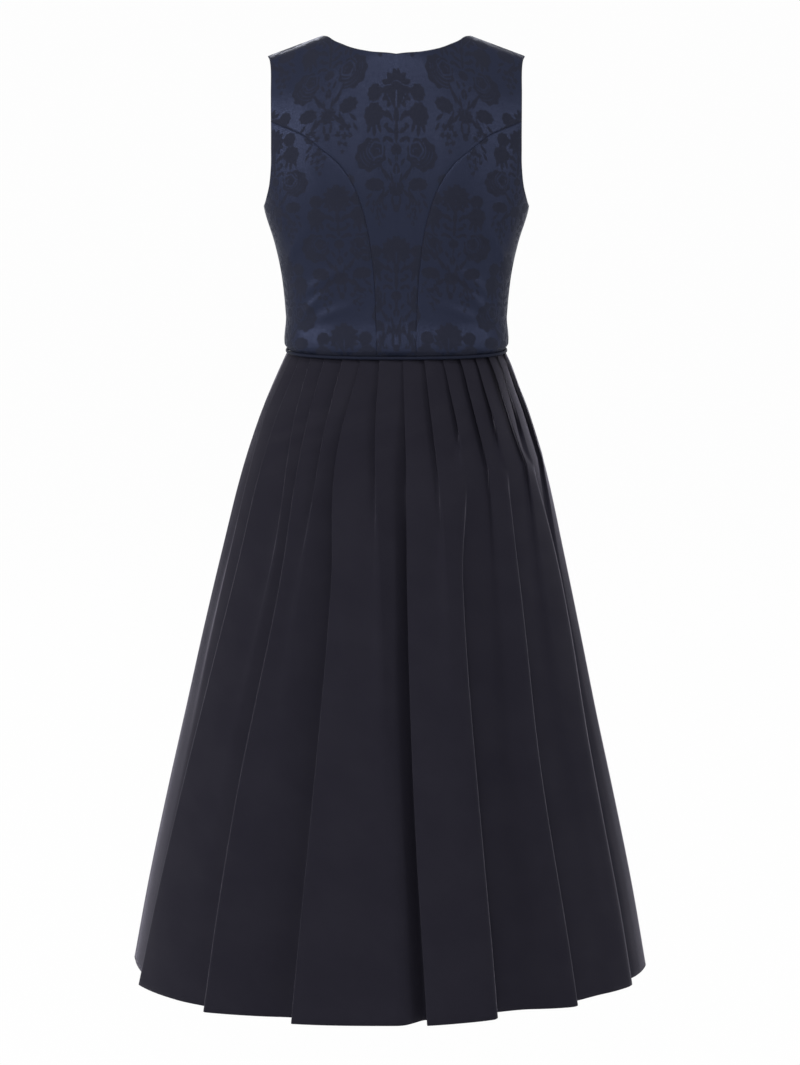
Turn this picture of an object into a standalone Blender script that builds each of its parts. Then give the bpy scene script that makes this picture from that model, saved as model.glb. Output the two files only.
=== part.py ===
"""A sleeveless dirndl with a brocade bodice and a pleated midi skirt, filled out as if worn.

The wearer faces -Y, their left is +X and up is +Z. The origin lies midway between the two top
corners of the neckline, where the shoulders carry the dress. Every cloth piece is a wall laid
half to each side of one form: the bodice pieces are drawn between their seam lines on the body
form, and the skirt hangs from the waist through rings that flare down to the hem.
"""

import math
from collections import namedtuple

import bpy
from mathutils import Vector

# Driving sizes, metres
BODICE_WALL = 0.0016
SKIRT_WALL = 0.0014
SEAM_GAP = 0.0003
SHOULDER_GAP = 0.0006       # the walls bend over the shoulder, so they close up on the inside
CORD_RADIUS = 0.0020
CORD_OUT = 0.0008           # the cord's centre stands this far outside the body form
CORD_SEGMENTS = 48
CORD_END_GAP = 0.3          # degrees between each end of the cord and the edge of the lap
WAIST_HEIGHT = -0.370
HEM_HEIGHT = -1.123
WAIST_DOWN = 0.389          # tape distance from the shoulder seam to the waist seam
LAP_OVER = 0.010            # the right front passes centre front by this much
LAP_UNDER = 0.012           # the left front passes it by this much, underneath
LAP_LIFT = 0.0027           # the upper layer of the lap stands out by this much
LAP_RISE = (160.0, 172.0)   # the turns between which it rises to that
BUTTON_RADIUS = 0.0060
BUTTON_HEIGHT = 0.0038
# How far each button's foot stands out from the panel's form, from the neckline down, so that all
# of them lie close on the flat facets of the panel
BUTTON_STANDS = [0.00018, 0.00087, 0.00128, 0.00105, 0.00066, 0.00045, 0.00055, 0.00033]
BUTTON_FOOT = 0.8           # the foot's radius, as a share of the button's
BUTTON_RIM = 0.35           # the height of its widest ring, as a share of its height
BUTTON_RINGS = 3
BUTTON_SEGMENTS = 12
BUTTON_TOP_MARGIN = 0.012   # from the neckline to the first button
BUTTON_FOOT_MARGIN = 0.016  # from the last button to the waist
SLIT_HEIGHT = -0.515        # the foot of the front opening in the skirt
SLIT_TURN = 182             # the pleat that hides it

BACK_SQUARE = 2.5           # exponents of the rings: 2 is an ellipse
FRONT_SQUARE = 2.3
SKIRT_SQUARE = 2.3

# Rings of the body form, from the shoulder seam to the waist. Down is measured along the cloth.
# Each ring has its middle and side heights, because it tilts where it crosses the shoulders.
Ring = namedtuple("Ring", "down half_width side_height side_set back_height back_depth "
                          "front_height front_depth")
BODY_RINGS = [
    Ring(0.000, 0.160, -0.027, 0.000, 0.032, 0.000, 0.032, 0.000),
    Ring(0.020, 0.160, -0.0335, 0.014, 0.0285, 0.026, 0.0285, 0.026),
    Ring(0.045, 0.160, -0.056, 0.024, 0.008, 0.053, 0.008, 0.052),
    Ring(0.075, 0.160, -0.083, 0.025, -0.026, 0.079, -0.026, 0.073),
    Ring(0.105, 0.160, -0.110, 0.019, -0.066, 0.095, -0.064, 0.087),
    Ring(0.140, 0.160, -0.140, 0.010, -0.112, 0.104, -0.108, 0.097),
    Ring(0.180, 0.159, -0.171, 0.002, -0.158, 0.107, -0.155, 0.104),
    Ring(0.220, 0.1555, -0.204, 0.000, -0.201, 0.104, -0.199, 0.108),
    Ring(0.260, 0.1440, -0.242, 0.000, -0.241, 0.0985, -0.241, 0.107),
    Ring(0.300, 0.1358, -0.281, 0.000, -0.281, 0.0925, -0.281, 0.103),
    Ring(0.345, 0.1312, -0.326, 0.000, -0.326, 0.0885, -0.326, 0.097),
    Ring(WAIST_DOWN, 0.1288, WAIST_HEIGHT, 0.000, WAIST_HEIGHT, 0.0885, WAIST_HEIGHT, 0.0945),
]

Bust = namedtuple("Bust", "out height rise width length")
BUST = Bust(out=0.088, height=-0.232, rise=0.030, width=0.045, length=0.052)

# Seam and edge lines on the left half, from centre back (turn 0) past the side (90) to centre
# front (180).
Mark = namedtuple("Mark", "turn down")
BACK_NECKLINE = [Mark(0, 0.068), Mark(5, 0.065), Mark(10, 0.054), Mark(18, 0.036),
                 Mark(25, 0.016), Mark(27.8, 0.000)]
BACK_SHOULDER = [Mark(27.8, 0.000), Mark(68.5, 0.000)]
BACK_ARMHOLE_UPPER = [Mark(68.5, 0.000), Mark(64, 0.030), Mark(63.5, 0.062), Mark(63.3, 0.095)]
BACK_ARMHOLE_LOWER = [Mark(63.3, 0.095), Mark(63.3, 0.125), Mark(64, 0.155), Mark(67.5, 0.182),
                      Mark(75, 0.2025), Mark(83, 0.211), Mark(90, 0.2125)]
BACK_SEAM = [Mark(6.5, 0.3865), Mark(6.8, 0.330), Mark(7.4, 0.285), Mark(8.5, 0.242),
             Mark(10.4, 0.211), Mark(13.5, 0.187), Mark(19, 0.162), Mark(27, 0.142),
             Mark(37, 0.122), Mark(48, 0.109), Mark(63.3, 0.095)]
SIDE_SEAM = [Mark(90, 0.3865), Mark(90, 0.300), Mark(90, 0.2125)]
FRONT_NECKLINE = [Mark(180, 0.154), Mark(174, 0.151), Mark(168, 0.139), Mark(161, 0.117),
                  Mark(155.5, 0.0775), Mark(152.4, 0.0395), Mark(150.3, 0.000)]
FRONT_SHOULDER = [Mark(150.3, 0.000), Mark(110.7, 0.000)]
FRONT_ARMHOLE_UPPER = [Mark(110.7, 0.000), Mark(118, 0.035), Mark(121.5, 0.065),
                       Mark(123.6, 0.095)]
FRONT_ARMHOLE_LOWER = [Mark(123.6, 0.095), Mark(124, 0.118), Mark(122.5, 0.146),
                       Mark(118, 0.174), Mark(109.5, 0.198), Mark(99, 0.2095),
                       Mark(90, 0.2125)]
FRONT_SEAM = [Mark(160, 0.3865), Mark(156.5, 0.350), Mark(151, 0.300), Mark(147.2, 0.260),
              Mark(144.8, 0.222), Mark(140.5, 0.187), Mark(134.5, 0.150), Mark(129, 0.120),
              Mark(123.6, 0.095)]

BODICE_ROWS = 9             # along the curved seams and the side seams
ARMHOLE_ROWS = 4
SHOULDER_COLUMNS = 4
NECKLINE_COLUMNS = 5
SIDE_COLUMNS = 5
SHOULDER_STRIP = 0.012      # share of the centre panels' height

# Rings of the skirt. Tuck is how far a pleat's fold edge stands proud of the next pleat, pipe how
# deep the round folds are that the pleats open into, and sway how far the skirt hangs to the left.
Flare = namedtuple("Flare", "height half_width back front tuck pipe sway")
SKIRT_RINGS = [
    Flare(-0.3723, 0.1295, 0.0890, 0.0950, 0.0034, 0.000, 0.000),
    Flare(-0.385, 0.1355, 0.0985, 0.1015, 0.0042, 0.000, 0.000),
    Flare(-0.410, 0.1460, 0.117, 0.113, 0.0052, 0.000, 0.001),
    Flare(-0.445, 0.1605, 0.137, 0.127, 0.0060, 0.002, 0.002),
    Flare(-0.515, 0.1825, 0.160, 0.147, 0.0064, 0.005, 0.003),
    Flare(-0.605, 0.2045, 0.180, 0.166, 0.0064, 0.009, 0.004),
    Flare(-0.700, 0.2265, 0.199, 0.184, 0.0060, 0.014, 0.005),
    Flare(-0.800, 0.2485, 0.215, 0.201, 0.0045, 0.018, 0.006),
    Flare(-0.910, 0.2730, 0.234, 0.219, 0.0025, 0.022, 0.007),
    Flare(-1.020, 0.2960, 0.249, 0.235, 0.0010, 0.025, 0.008),
    Flare(HEM_HEIGHT, 0.3150, 0.261, 0.247, 0.0000, 0.028, 0.009),
]

# Knife pleats, from the right side seam across the back to the left, then across the front.
# Each fold edge faces the wearer's left, and its turn drifts from the waist to the hem.
Pleat = namedtuple("Pleat", "waist hem")
PLEATS = [
    Pleat(-87, -86), Pleat(-75, -77), Pleat(-64, -68), Pleat(-53, -60), Pleat(-42, -43),
    Pleat(-31, -38), Pleat(-21, -21), Pleat(-11, -15), Pleat(-2, -7), Pleat(7, 8),
    Pleat(16, 18), Pleat(26, 30), Pleat(38, 41), Pleat(48, 44), Pleat(59, 71), Pleat(71, 79),
    Pleat(84, 88), Pleat(97, 99), Pleat(109, 112), Pleat(120, 122), Pleat(131, 134),
    Pleat(142, 143), Pleat(152, 157), Pleat(162, 164), Pleat(172, 175), Pleat(182, 184),
    Pleat(193, 197), Pleat(204, 206), Pleat(216, 219), Pleat(228, 229), Pleat(240, 243),
    Pleat(252, 254), Pleat(263, 264),
]

# Round folds at the hem: the turn of each valley, its share of the full depth, and the turn of
# the crown after it.
Pipe = namedtuple("Pipe", "valley depth crown")
PIPES = [
    Pipe(-98, 0.9, -91), Pipe(-72, 0.9, -66), Pipe(-47, 1.0, -41), Pipe(-25, 0.9, -15),
    Pipe(-3, 0.7, 14), Pipe(21, 0.9, 38), Pipe(45, 1.0, 68), Pipe(76, 0.9, 93),
    Pipe(103, 0.8, 115), Pipe(125, 0.9, 137), Pipe(148, 1.0, 158), Pipe(169, 0.8, 181),
    Pipe(193, 1.0, 204), Pipe(216, 0.9, 227), Pipe(238, 1.0, 249),
]

# How much higher the hem hangs at each turn
Hang = namedtuple("Hang", "turn rise")
HANGS = [
    Hang(-180, 0.000), Hang(-120, 0.000), Hang(-95, 0.003), Hang(-70, 0.005), Hang(-45, 0.005),
    Hang(-24, 0.005), Hang(-8, 0.001), Hang(0, 0.000), Hang(180, 0.000),
]

# Where the wall turns within one pleat: its share of the way to the next fold edge, and of the
# tuck's depth
Turn = namedtuple("Turn", "way depth")
PLEAT_TURNS = [Turn(0.00, 0.00), Turn(0.45, 0.38), Turn(0.96, 1.00)]


def table_at(rows, key, value):
    """Read a table at any value of its first column, on a smooth curve through its rows."""
    rows = sorted(rows, key=lambda row: row[0])
    value = min(max(value, rows[0][0]), rows[-1][0])
    last = len(rows) - 1
    index = max(i for i in range(last) if rows[i][0] <= value)

    def slope(i):
        low, high = max(i - 1, 0), min(i + 1, last)
        return (getattr(rows[high], key) - getattr(rows[low], key)) / (rows[high][0] - rows[low][0])

    start, end = rows[index], rows[index + 1]
    span = end[0] - start[0]
    t = (value - start[0]) / span
    return ((2 * t**3 - 3 * t**2 + 1) * getattr(start, key)
            + (3 * t**2 - 2 * t**3) * getattr(end, key)
            + (t**3 - 2 * t**2 + t) * span * slope(index)
            + (t**3 - t**2) * span * slope(index + 1))


def along(marks, t):
    """A point at share t of a line of marks, on a smooth curve through them."""
    place = min(max(t, 0.0), 1.0) * (len(marks) - 1)
    index = min(int(place), len(marks) - 2)
    f = place - index
    before, after = marks[max(index - 1, 0)], marks[min(index + 2, len(marks) - 1)]
    start, end = marks[index], marks[index + 1]

    def blend(a, b, c, d):
        return b + 0.5 * f * (c - a + f * (2 * a - 5 * b + 4 * c - d + f * (3 * (b - c) + d - a)))

    return Mark(blend(before.turn, start.turn, end.turn, after.turn),
                blend(before.down, start.down, end.down, after.down))


def signed_power(value, power):
    return math.copysign(abs(value) ** power, value)


def body_point(turn, down):
    """A point of the body form at a turn in degrees from centre back and a distance down."""
    angle = math.radians(turn)
    behind = math.cos(angle) >= 0
    square = BACK_SQUARE if behind else FRONT_SQUARE
    side = "back" if behind else "front"
    half_width = table_at(BODY_RINGS, "half_width", down)
    side_height = table_at(BODY_RINGS, "side_height", down)
    side_set = table_at(BODY_RINGS, "side_set", down)
    height = table_at(BODY_RINGS, side + "_height", down)
    depth = table_at(BODY_RINGS, side + "_depth", down)
    x = half_width * signed_power(math.sin(angle), 2 / square)
    y = side_set + (depth - side_set) * abs(math.cos(angle)) ** (2 / square)
    z = height + (side_height - height) * abs(x) / half_width
    if behind:
        return Vector((x, y, z))
    swell = sum(math.exp(-((x - out) / BUST.width) ** 2 / 2) for out in (-BUST.out, BUST.out))
    swell *= math.exp(-((z - BUST.height) / BUST.length) ** 2 / 2)
    return Vector((x, -y - BUST.rise * swell, z))


def body_outward(turn, down):
    """The outward direction of the body form at a point."""
    step = 0.5
    across = body_point(turn + step, down) - body_point(turn - step, down)
    upward = body_point(turn, down - 0.002) - body_point(turn, down + 0.002)
    return upward.cross(across).normalized()


def lap_lift(turn):
    """How far the right front stands out, so that it passes over the left one at centre front."""
    start, full = LAP_RISE
    t = min(max((turn - start) / (full - start), 0.0), 1.0)
    return LAP_LIFT * t * t * (3 - 2 * t)


def past_centre(distance):
    """The turn of a line that lies a distance past centre front."""
    share = distance / BODY_RINGS[-1].half_width
    return 180 + math.degrees(math.asin(share ** (FRONT_SQUARE / 2)))


def material(name, colour, roughness):
    made = bpy.data.materials.new(name)
    made.use_nodes = True
    shader = made.node_tree.nodes["Principled BSDF"]
    shader.inputs["Base Color"].default_value = (*colour, 1.0)
    shader.inputs["Roughness"].default_value = roughness
    shader.inputs["Metallic"].default_value = 0.0
    made.diffuse_color = (*colour, 1.0)
    return made


def add_object(name, mesh, cloth):
    mesh.materials.append(cloth)
    mesh.shade_smooth()
    mesh.set_sharp_from_angle(angle=math.radians(40))
    made = bpy.data.objects.new(name, mesh)
    dress.objects.link(made)
    return made


def wall_from_grid(name, grid, thickness, cloth, left_out=()):
    """Make a cloth wall around an open sheet of points, rows from the bottom up."""
    columns = len(grid[0])
    faces = [(r * columns + c, r * columns + c + 1, (r + 1) * columns + c + 1, (r + 1) * columns + c)
             for r in range(len(grid) - 1) for c in range(columns - 1) if (r, c) not in left_out]
    mesh = bpy.data.meshes.new(name)
    mesh.from_pydata([point for row in grid for point in row], [], faces)
    made = add_object(name, mesh, cloth)
    wall = made.modifiers.new("Wall", "SOLIDIFY")
    wall.thickness = thickness
    wall.offset = 0
    wall.use_even_offset = False
    return made


def draw_in(grid, distance=SEAM_GAP / 2, top_distance=SEAM_GAP / 2):
    """Pull the four edges of a sheet in, so that neighbouring pieces keep the seam gap."""
    moved = [[point.copy() for point in row] for row in grid]
    rows, columns = len(grid), len(grid[0])
    for r in range(rows):
        for c, inner in ((0, 1), (columns - 1, columns - 2)):
            moved[r][c] += (grid[r][inner] - grid[r][c]).normalized() * distance
    for c in range(columns):
        for r, inner, reach in ((0, 1, distance), (rows - 1, rows - 2, top_distance)):
            moved[r][c] += (grid[inner][c] - grid[r][c]).normalized() * reach
    return moved


def pattern_grid(bottom, top, left, right, columns, rows, top_strip=0.0):
    """Fill a piece between its four lines; each line is a function of a share from 0 to 1.

    A top strip is one more row, that share below the top, for an edge on a tight bend.
    """
    grid = []
    levels = [r / rows for r in range(rows)] + ([1 - top_strip] if top_strip else []) + [1.0]
    for v in levels:
        line = []
        for c in range(columns + 1):
            u = c / columns
            mark = []
            for axis in range(2):
                sides = (1 - u) * left(v)[axis] + u * right(v)[axis]
                ends = (1 - v) * bottom(u)[axis] + v * top(u)[axis]
                corners = ((1 - v) * ((1 - u) * bottom(0)[axis] + u * bottom(1)[axis])
                           + v * ((1 - u) * top(0)[axis] + u * top(1)[axis]))
                mark.append(sides + ends - corners)
            line.append(Mark(*mark))
        grid.append(line)
    return grid


def straight(start, end):
    return lambda t: Mark(start[0] + (end[0] - start[0]) * t, start[1] + (end[1] - start[1]) * t)


def joined(first, second, share):
    """One line from two, the first filling the given share of it."""
    def line(t):
        return along(first, t / share) if t <= share else along(second, (t - share) / (1 - share))

    return line


def centre_piece(neckline, shoulder, seam, armhole, centre_turn, place):
    """The half of a centre panel, from its centre line out to the curved seam and the armhole."""
    columns = NECKLINE_COLUMNS + SHOULDER_COLUMNS
    rows = BODICE_ROWS + ARMHOLE_ROWS
    upward = list(reversed(armhole))
    centre_foot = Mark(centre_turn, seam[0].down)
    centre_top = Mark(centre_turn, neckline[0].down)
    neck = [centre_top] + neckline[1:]
    grid = pattern_grid(
        bottom=straight(centre_foot, seam[0]),
        top=joined(neck, shoulder, NECKLINE_COLUMNS / columns),
        left=straight(centre_foot, centre_top),
        right=joined(seam, upward, BODICE_ROWS / rows),
        columns=columns, rows=rows, top_strip=SHOULDER_STRIP)
    return [[place(mark) for mark in row] for row in grid]


def side_piece(seam, armhole, place):
    """A side panel, from its curved seam to the side seam, under the armhole."""
    grid = pattern_grid(
        bottom=straight(seam[0], SIDE_SEAM[0]),
        top=lambda t: along(armhole, t),
        left=lambda t: along(seam, t),
        right=lambda t: along(SIDE_SEAM, t),
        columns=SIDE_COLUMNS, rows=BODICE_ROWS)
    return [[place(mark) for mark in row] for row in grid]


def on_form(mark):
    return body_point(mark.turn, mark.down)


def on_right_front(mark):
    return on_form(mark) + body_outward(mark.turn, mark.down) * lap_lift(mark.turn)


def mirrored(grid):
    return [[Vector((-point.x, point.y, point.z)) for point in reversed(row)] for row in grid]


def make_back_centre(cloth):
    half = centre_piece(BACK_NECKLINE, BACK_SHOULDER, BACK_SEAM, BACK_ARMHOLE_UPPER, 0, on_form)
    half = draw_in(half, top_distance=SHOULDER_GAP / 2)
    for row in half:
        row[0].x = 0.0
    whole = [list(reversed(left)) + right[1:] for left, right in
             ((row, [Vector((-p.x, p.y, p.z)) for p in row]) for row in half)]
    return wall_from_grid("back_centre", whole, BODICE_WALL, cloth)


def make_front_centres(cloth):
    lines = (FRONT_NECKLINE, FRONT_SHOULDER, FRONT_SEAM, FRONT_ARMHOLE_UPPER)
    left = draw_in(centre_piece(*lines, past_centre(LAP_UNDER), on_form),
                   top_distance=SHOULDER_GAP / 2)
    wall_from_grid("front_centre_left", left, BODICE_WALL, cloth)
    right = draw_in(centre_piece(*lines, past_centre(LAP_OVER), on_right_front),
                    top_distance=SHOULDER_GAP / 2)
    wall_from_grid("front_centre_right", mirrored(right), BODICE_WALL, cloth)


def make_sides(cloth):
    for name, seam, armhole in (("back_side", BACK_SEAM, BACK_ARMHOLE_LOWER),
                                ("front_side", FRONT_SEAM, FRONT_ARMHOLE_LOWER)):
        left = draw_in(side_piece(seam, armhole, on_form))
        wall_from_grid(name + "_left", left, BODICE_WALL, cloth)
        wall_from_grid(name + "_right", mirrored(left), BODICE_WALL, cloth)


def skirt_ring(turn, height):
    """A point on the smooth outer form of the skirt."""
    angle = math.radians(turn)
    depth = table_at(SKIRT_RINGS, "back" if math.cos(angle) >= 0 else "front", height)
    half_width = table_at(SKIRT_RINGS, "half_width", height)
    return Vector((half_width * signed_power(math.sin(angle), 2 / SKIRT_SQUARE),
                   depth * signed_power(math.cos(angle), 2 / SKIRT_SQUARE), height))


def pipe_inset(turn, height):
    """How far the round folds set the wall in: nothing at a crown, full depth in a valley."""
    depth = table_at(SKIRT_RINGS, "pipe", height)
    knots = []
    for lap in (-360, 0, 360):
        for pipe in PIPES:
            knots += [(pipe.valley + lap, pipe.depth), (pipe.crown + lap, 0.0)]
    index = max(i for i, knot in enumerate(knots) if knot[0] <= turn)
    start, end = knots[index], knots[index + 1]
    t = (turn - start[0]) / (end[0] - start[0])
    return depth * (start[1] + (end[1] - start[1]) * (1 - math.cos(math.pi * t)) / 2)


def pleat_turn(number, height):
    """The turn of a fold edge at a height. The pleats are numbered on past the last one."""
    laps, place = divmod(number, len(PLEATS))
    pleat = PLEATS[place]
    fall = (height - SKIRT_RINGS[0].height) / (HEM_HEIGHT - SKIRT_RINGS[0].height)
    return pleat.waist + (pleat.hem - pleat.waist) * fall + 360 * laps


def tuck_share(way):
    """How far into the tuck the wall is, at a share of the way from one fold edge to the next."""
    turns = PLEAT_TURNS + [Turn(1.0, 0.0)]
    index = max(i for i, turn in enumerate(turns[:-1]) if turn.way <= way)
    start, end = turns[index], turns[index + 1]
    return start.depth + (end.depth - start.depth) * (way - start.way) / (end.way - start.way)


def hem_rise(turn, height):
    """How much higher the cloth hangs at a turn, growing from nothing at the waist."""
    fall = (height - SKIRT_RINGS[0].height) / (HEM_HEIGHT - SKIRT_RINGS[0].height)
    return fall**2 * table_at(HANGS, "rise", (turn + 180) % 360 - 180)


def skirt_line(number, way):
    """The points of one line down the skirt, a share of the way past a fold edge, hem first."""
    line = []
    for ring in reversed(SKIRT_RINGS):
        turn = (pleat_turn(number, ring.height) * (1 - way)
                + pleat_turn(number - 1, ring.height) * way)
        point = skirt_ring(turn, ring.height)
        inward = Vector((-point.x, -point.y, 0)).normalized()
        inset = pipe_inset(turn % 360, ring.height) + ring.tuck * tuck_share(way)
        hang = Vector((ring.sway, 0, hem_rise(turn, ring.height)))
        line.append(point + inward * inset + hang)
    return line


def skirt_width(start, end):
    """The lines of one width, by falling turn, as (pleat number, share of the way)."""
    top = SKIRT_RINGS[0].height
    places = []
    for number in range(-len(PLEATS), 2 * len(PLEATS)):
        high, low = pleat_turn(number, top), pleat_turn(number - 1, top)
        for edge in (start, end):
            if low < edge <= high:
                places.append((-number, (high - edge) / (high - low)))
        places += [(-number, turn.way) for turn in PLEAT_TURNS
                   if end < high + (low - high) * turn.way < start]
    return [(-number, way) for number, way in sorted(places)]


def make_skirt(cloth):
    """Two widths that meet at the side seams. The front one is open under its middle pleat."""
    for name, start, end in (("skirt_front", 270, 90), ("skirt_back", 90, -90)):
        places = skirt_width(start, end)
        grid = [list(row) for row in zip(*(skirt_line(*place) for place in places))]
        slit = set()
        if name == "skirt_front":
            column = next(i for i, (number, way) in enumerate(places)
                          if way == 0.0 and pleat_turn(number, SKIRT_RINGS[0].height) == SLIT_TURN)
            slit = {(r, column - 1) for r in range(len(grid) - 1)
                    if grid[r][0].z >= SLIT_HEIGHT - 0.001}
        wall_from_grid(name, draw_in(grid), SKIRT_WALL, cloth, slit)


def make_waist_piping(cloth):
    """A covered cord in the waist seam, from one edge of the front lap round to the other."""
    curve = bpy.data.curves.new("waist_piping", "CURVE")
    curve.dimensions = "3D"
    curve.bevel_depth = CORD_RADIUS
    curve.bevel_resolution = 2
    curve.use_fill_caps = True
    spline = curve.splines.new("POLY")
    spline.points.add(CORD_SEGMENTS)
    # The cord starts at the right front's edge, which ends past centre front on the left
    start = 360 - past_centre(LAP_OVER) + CORD_END_GAP
    for index in range(CORD_SEGMENTS + 1):
        turn = start + (360 - 2 * CORD_END_GAP) * index / CORD_SEGMENTS
        outward = body_outward(turn, WAIST_DOWN - 0.01)
        point = body_point(turn, WAIST_DOWN) + outward * (lap_lift(360 - turn) + CORD_OUT)
        spline.points[index].co = (point.x, point.y, WAIST_HEIGHT, 1.0)
    made = bpy.data.objects.new(curve.name, curve)
    curve.materials.append(cloth)
    dress.objects.link(made)


def make_buttons(cloth):
    """Domed covered buttons down centre front, on the upper layer of the lap."""
    top, foot = FRONT_NECKLINE[0].down + BUTTON_TOP_MARGIN, WAIST_DOWN - BUTTON_FOOT_MARGIN
    for number, stand in enumerate(BUTTON_STANDS):
        down = top + (foot - top) * number / (len(BUTTON_STANDS) - 1)
        outward = body_outward(180, down)
        outline = [Vector((0, 0, 0)), Vector((BUTTON_RADIUS * BUTTON_FOOT, 0, 0))]
        for ring in range(BUTTON_RINGS):
            rise = math.radians(90 * ring / BUTTON_RINGS)
            outline.append(Vector((BUTTON_RADIUS * math.cos(rise), 0, BUTTON_HEIGHT
                                   * (BUTTON_RIM + (1 - BUTTON_RIM) * math.sin(rise)))))
        outline.append(Vector((0, 0, BUTTON_HEIGHT)))
        mesh = bpy.data.meshes.new("button_%d" % (number + 1))
        mesh.from_pydata(outline[::-1], [(i, i + 1) for i in range(len(outline) - 1)], [])
        made = add_object(mesh.name, mesh, cloth)
        made.location = (body_point(180, down)
                         + outward * (LAP_LIFT + BODICE_WALL / 2 + stand))
        made.rotation_euler = outward.to_track_quat("Z", "Y").to_euler()
        screw = made.modifiers.new("Turned", "SCREW")
        screw.steps = screw.render_steps = BUTTON_SEGMENTS
        screw.use_merge_vertices = True
        screw.merge_threshold = 0.0001


for old in list(bpy.data.objects):
    bpy.data.objects.remove(old, do_unlink=True)
dress = bpy.data.collections.new("dirndl")
bpy.context.scene.collection.children.link(dress)

brocade = material("navy_brocade", (0.030, 0.036, 0.068), 0.42)
plain = material("navy_skirt_cloth", (0.019, 0.018, 0.027), 0.80)
covering = material("navy_button_cloth", (0.030, 0.036, 0.068), 0.42)
cording = material("navy_piping_cloth", (0.030, 0.036, 0.068), 0.42)

make_back_centre(brocade)
make_sides(brocade)
make_front_centres(brocade)
make_waist_piping(cording)
make_skirt(plain)
make_buttons(covering)
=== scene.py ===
"""A sleeveless dirndl: damask bodice shells, a pleated skirt, waist piping and covered buttons.

Every piece of cloth is a thin shell on the form of its CAD solid. The wearer faces -Y, their left
is +X and up is +Z, in metres. Turns are degrees from centre back (0) through the wearer's left
side (90) to centre front (180), and down is the tape distance from the shoulder seam.
"""

import math
from collections import namedtuple
from functools import lru_cache

import bmesh
import bpy
import numpy as np
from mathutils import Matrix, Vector


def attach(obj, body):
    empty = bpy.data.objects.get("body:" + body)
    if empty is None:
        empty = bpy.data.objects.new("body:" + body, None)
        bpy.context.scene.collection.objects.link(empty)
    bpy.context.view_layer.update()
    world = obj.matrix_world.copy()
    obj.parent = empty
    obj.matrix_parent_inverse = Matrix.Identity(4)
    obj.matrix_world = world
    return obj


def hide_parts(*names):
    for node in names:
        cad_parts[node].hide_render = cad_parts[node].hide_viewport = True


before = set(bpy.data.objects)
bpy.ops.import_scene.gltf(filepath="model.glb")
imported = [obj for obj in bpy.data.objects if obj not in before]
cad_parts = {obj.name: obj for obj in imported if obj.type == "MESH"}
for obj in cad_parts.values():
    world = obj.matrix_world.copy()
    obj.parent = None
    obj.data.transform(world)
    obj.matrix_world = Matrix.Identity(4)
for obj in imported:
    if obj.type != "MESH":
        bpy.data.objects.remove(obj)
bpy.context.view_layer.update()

bl_info = {
    "name": "Dirndl Maker",
    "version": (1, 0, 0),
    "blender": (4, 5, 0),
    "location": "View3D > Sidebar > Dirndl",
    "description": "Builds a sleeveless dirndl with a damask bodice and a pleated skirt",
    "category": "Add Mesh",
}

# ---------------------------------------------------------------- sizes of the form, metres

WAIST_DOWN = 0.389  # from the shoulder seam down the cloth to the waist seam
WAIST_HEIGHT = -0.370
SKIRT_TOP = -0.3723
HEM_HEIGHT = -1.123
LAP_OVER = 0.010  # how far the right front passes centre front
LAP_UNDER = 0.012  # how far the left front passes it, underneath
LAP_LIFT = 0.0027  # how far the right front stands out over the left one
LAP_RISE = (160.0, 172.0)  # the turns between which it rises by that
# How square the form's level sections are: 2 is an ellipse
BACK_SQUARE, FRONT_SQUARE, SKIRT_SQUARE = 2.5, 2.3, 2.3

Ring = namedtuple("Ring", "down half_width side_height side_set back_height back_depth "
                          "front_height front_depth")
BODY_RINGS = [
    Ring(0.000, 0.160, -0.027, 0.000, 0.032, 0.000, 0.032, 0.000),
    Ring(0.020, 0.160, -0.0335, 0.014, 0.0285, 0.026, 0.0285, 0.026),
    Ring(0.045, 0.160, -0.056, 0.024, 0.008, 0.053, 0.008, 0.052),
    Ring(0.075, 0.160, -0.083, 0.025, -0.026, 0.079, -0.026, 0.073),
    Ring(0.105, 0.160, -0.110, 0.019, -0.066, 0.095, -0.064, 0.087),
    Ring(0.140, 0.160, -0.140, 0.010, -0.112, 0.104, -0.108, 0.097),
    Ring(0.180, 0.159, -0.171, 0.002, -0.158, 0.107, -0.155, 0.104),
    Ring(0.220, 0.1555, -0.204, 0.000, -0.201, 0.104, -0.199, 0.108),
    Ring(0.260, 0.1440, -0.242, 0.000, -0.241, 0.0985, -0.241, 0.107),
    Ring(0.300, 0.1358, -0.281, 0.000, -0.281, 0.0925, -0.281, 0.103),
    Ring(0.345, 0.1312, -0.326, 0.000, -0.326, 0.0885, -0.326, 0.097),
    Ring(WAIST_DOWN, 0.1288, WAIST_HEIGHT, 0.000, WAIST_HEIGHT, 0.0885, WAIST_HEIGHT, 0.0945),
]

Bust = namedtuple("Bust", "out height rise width length")
BUST = Bust(out=0.088, height=-0.232, rise=0.030, width=0.045, length=0.052)

# The level rings of the form dip to the sides. This rounds the dip off at centre back and front.
CENTRE_ROUNDING = 0.30
ROUNDING_START, ROUNDING_FULL = 0.03, 0.10
HALVINGS = 40  # how often a search between two places is halved

Mark = namedtuple("Mark", "turn down")


def line_of(*pairs):
    """A line of marks from its pairs of turn and distance down."""
    return [Mark(*pair) for pair in pairs]


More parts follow.
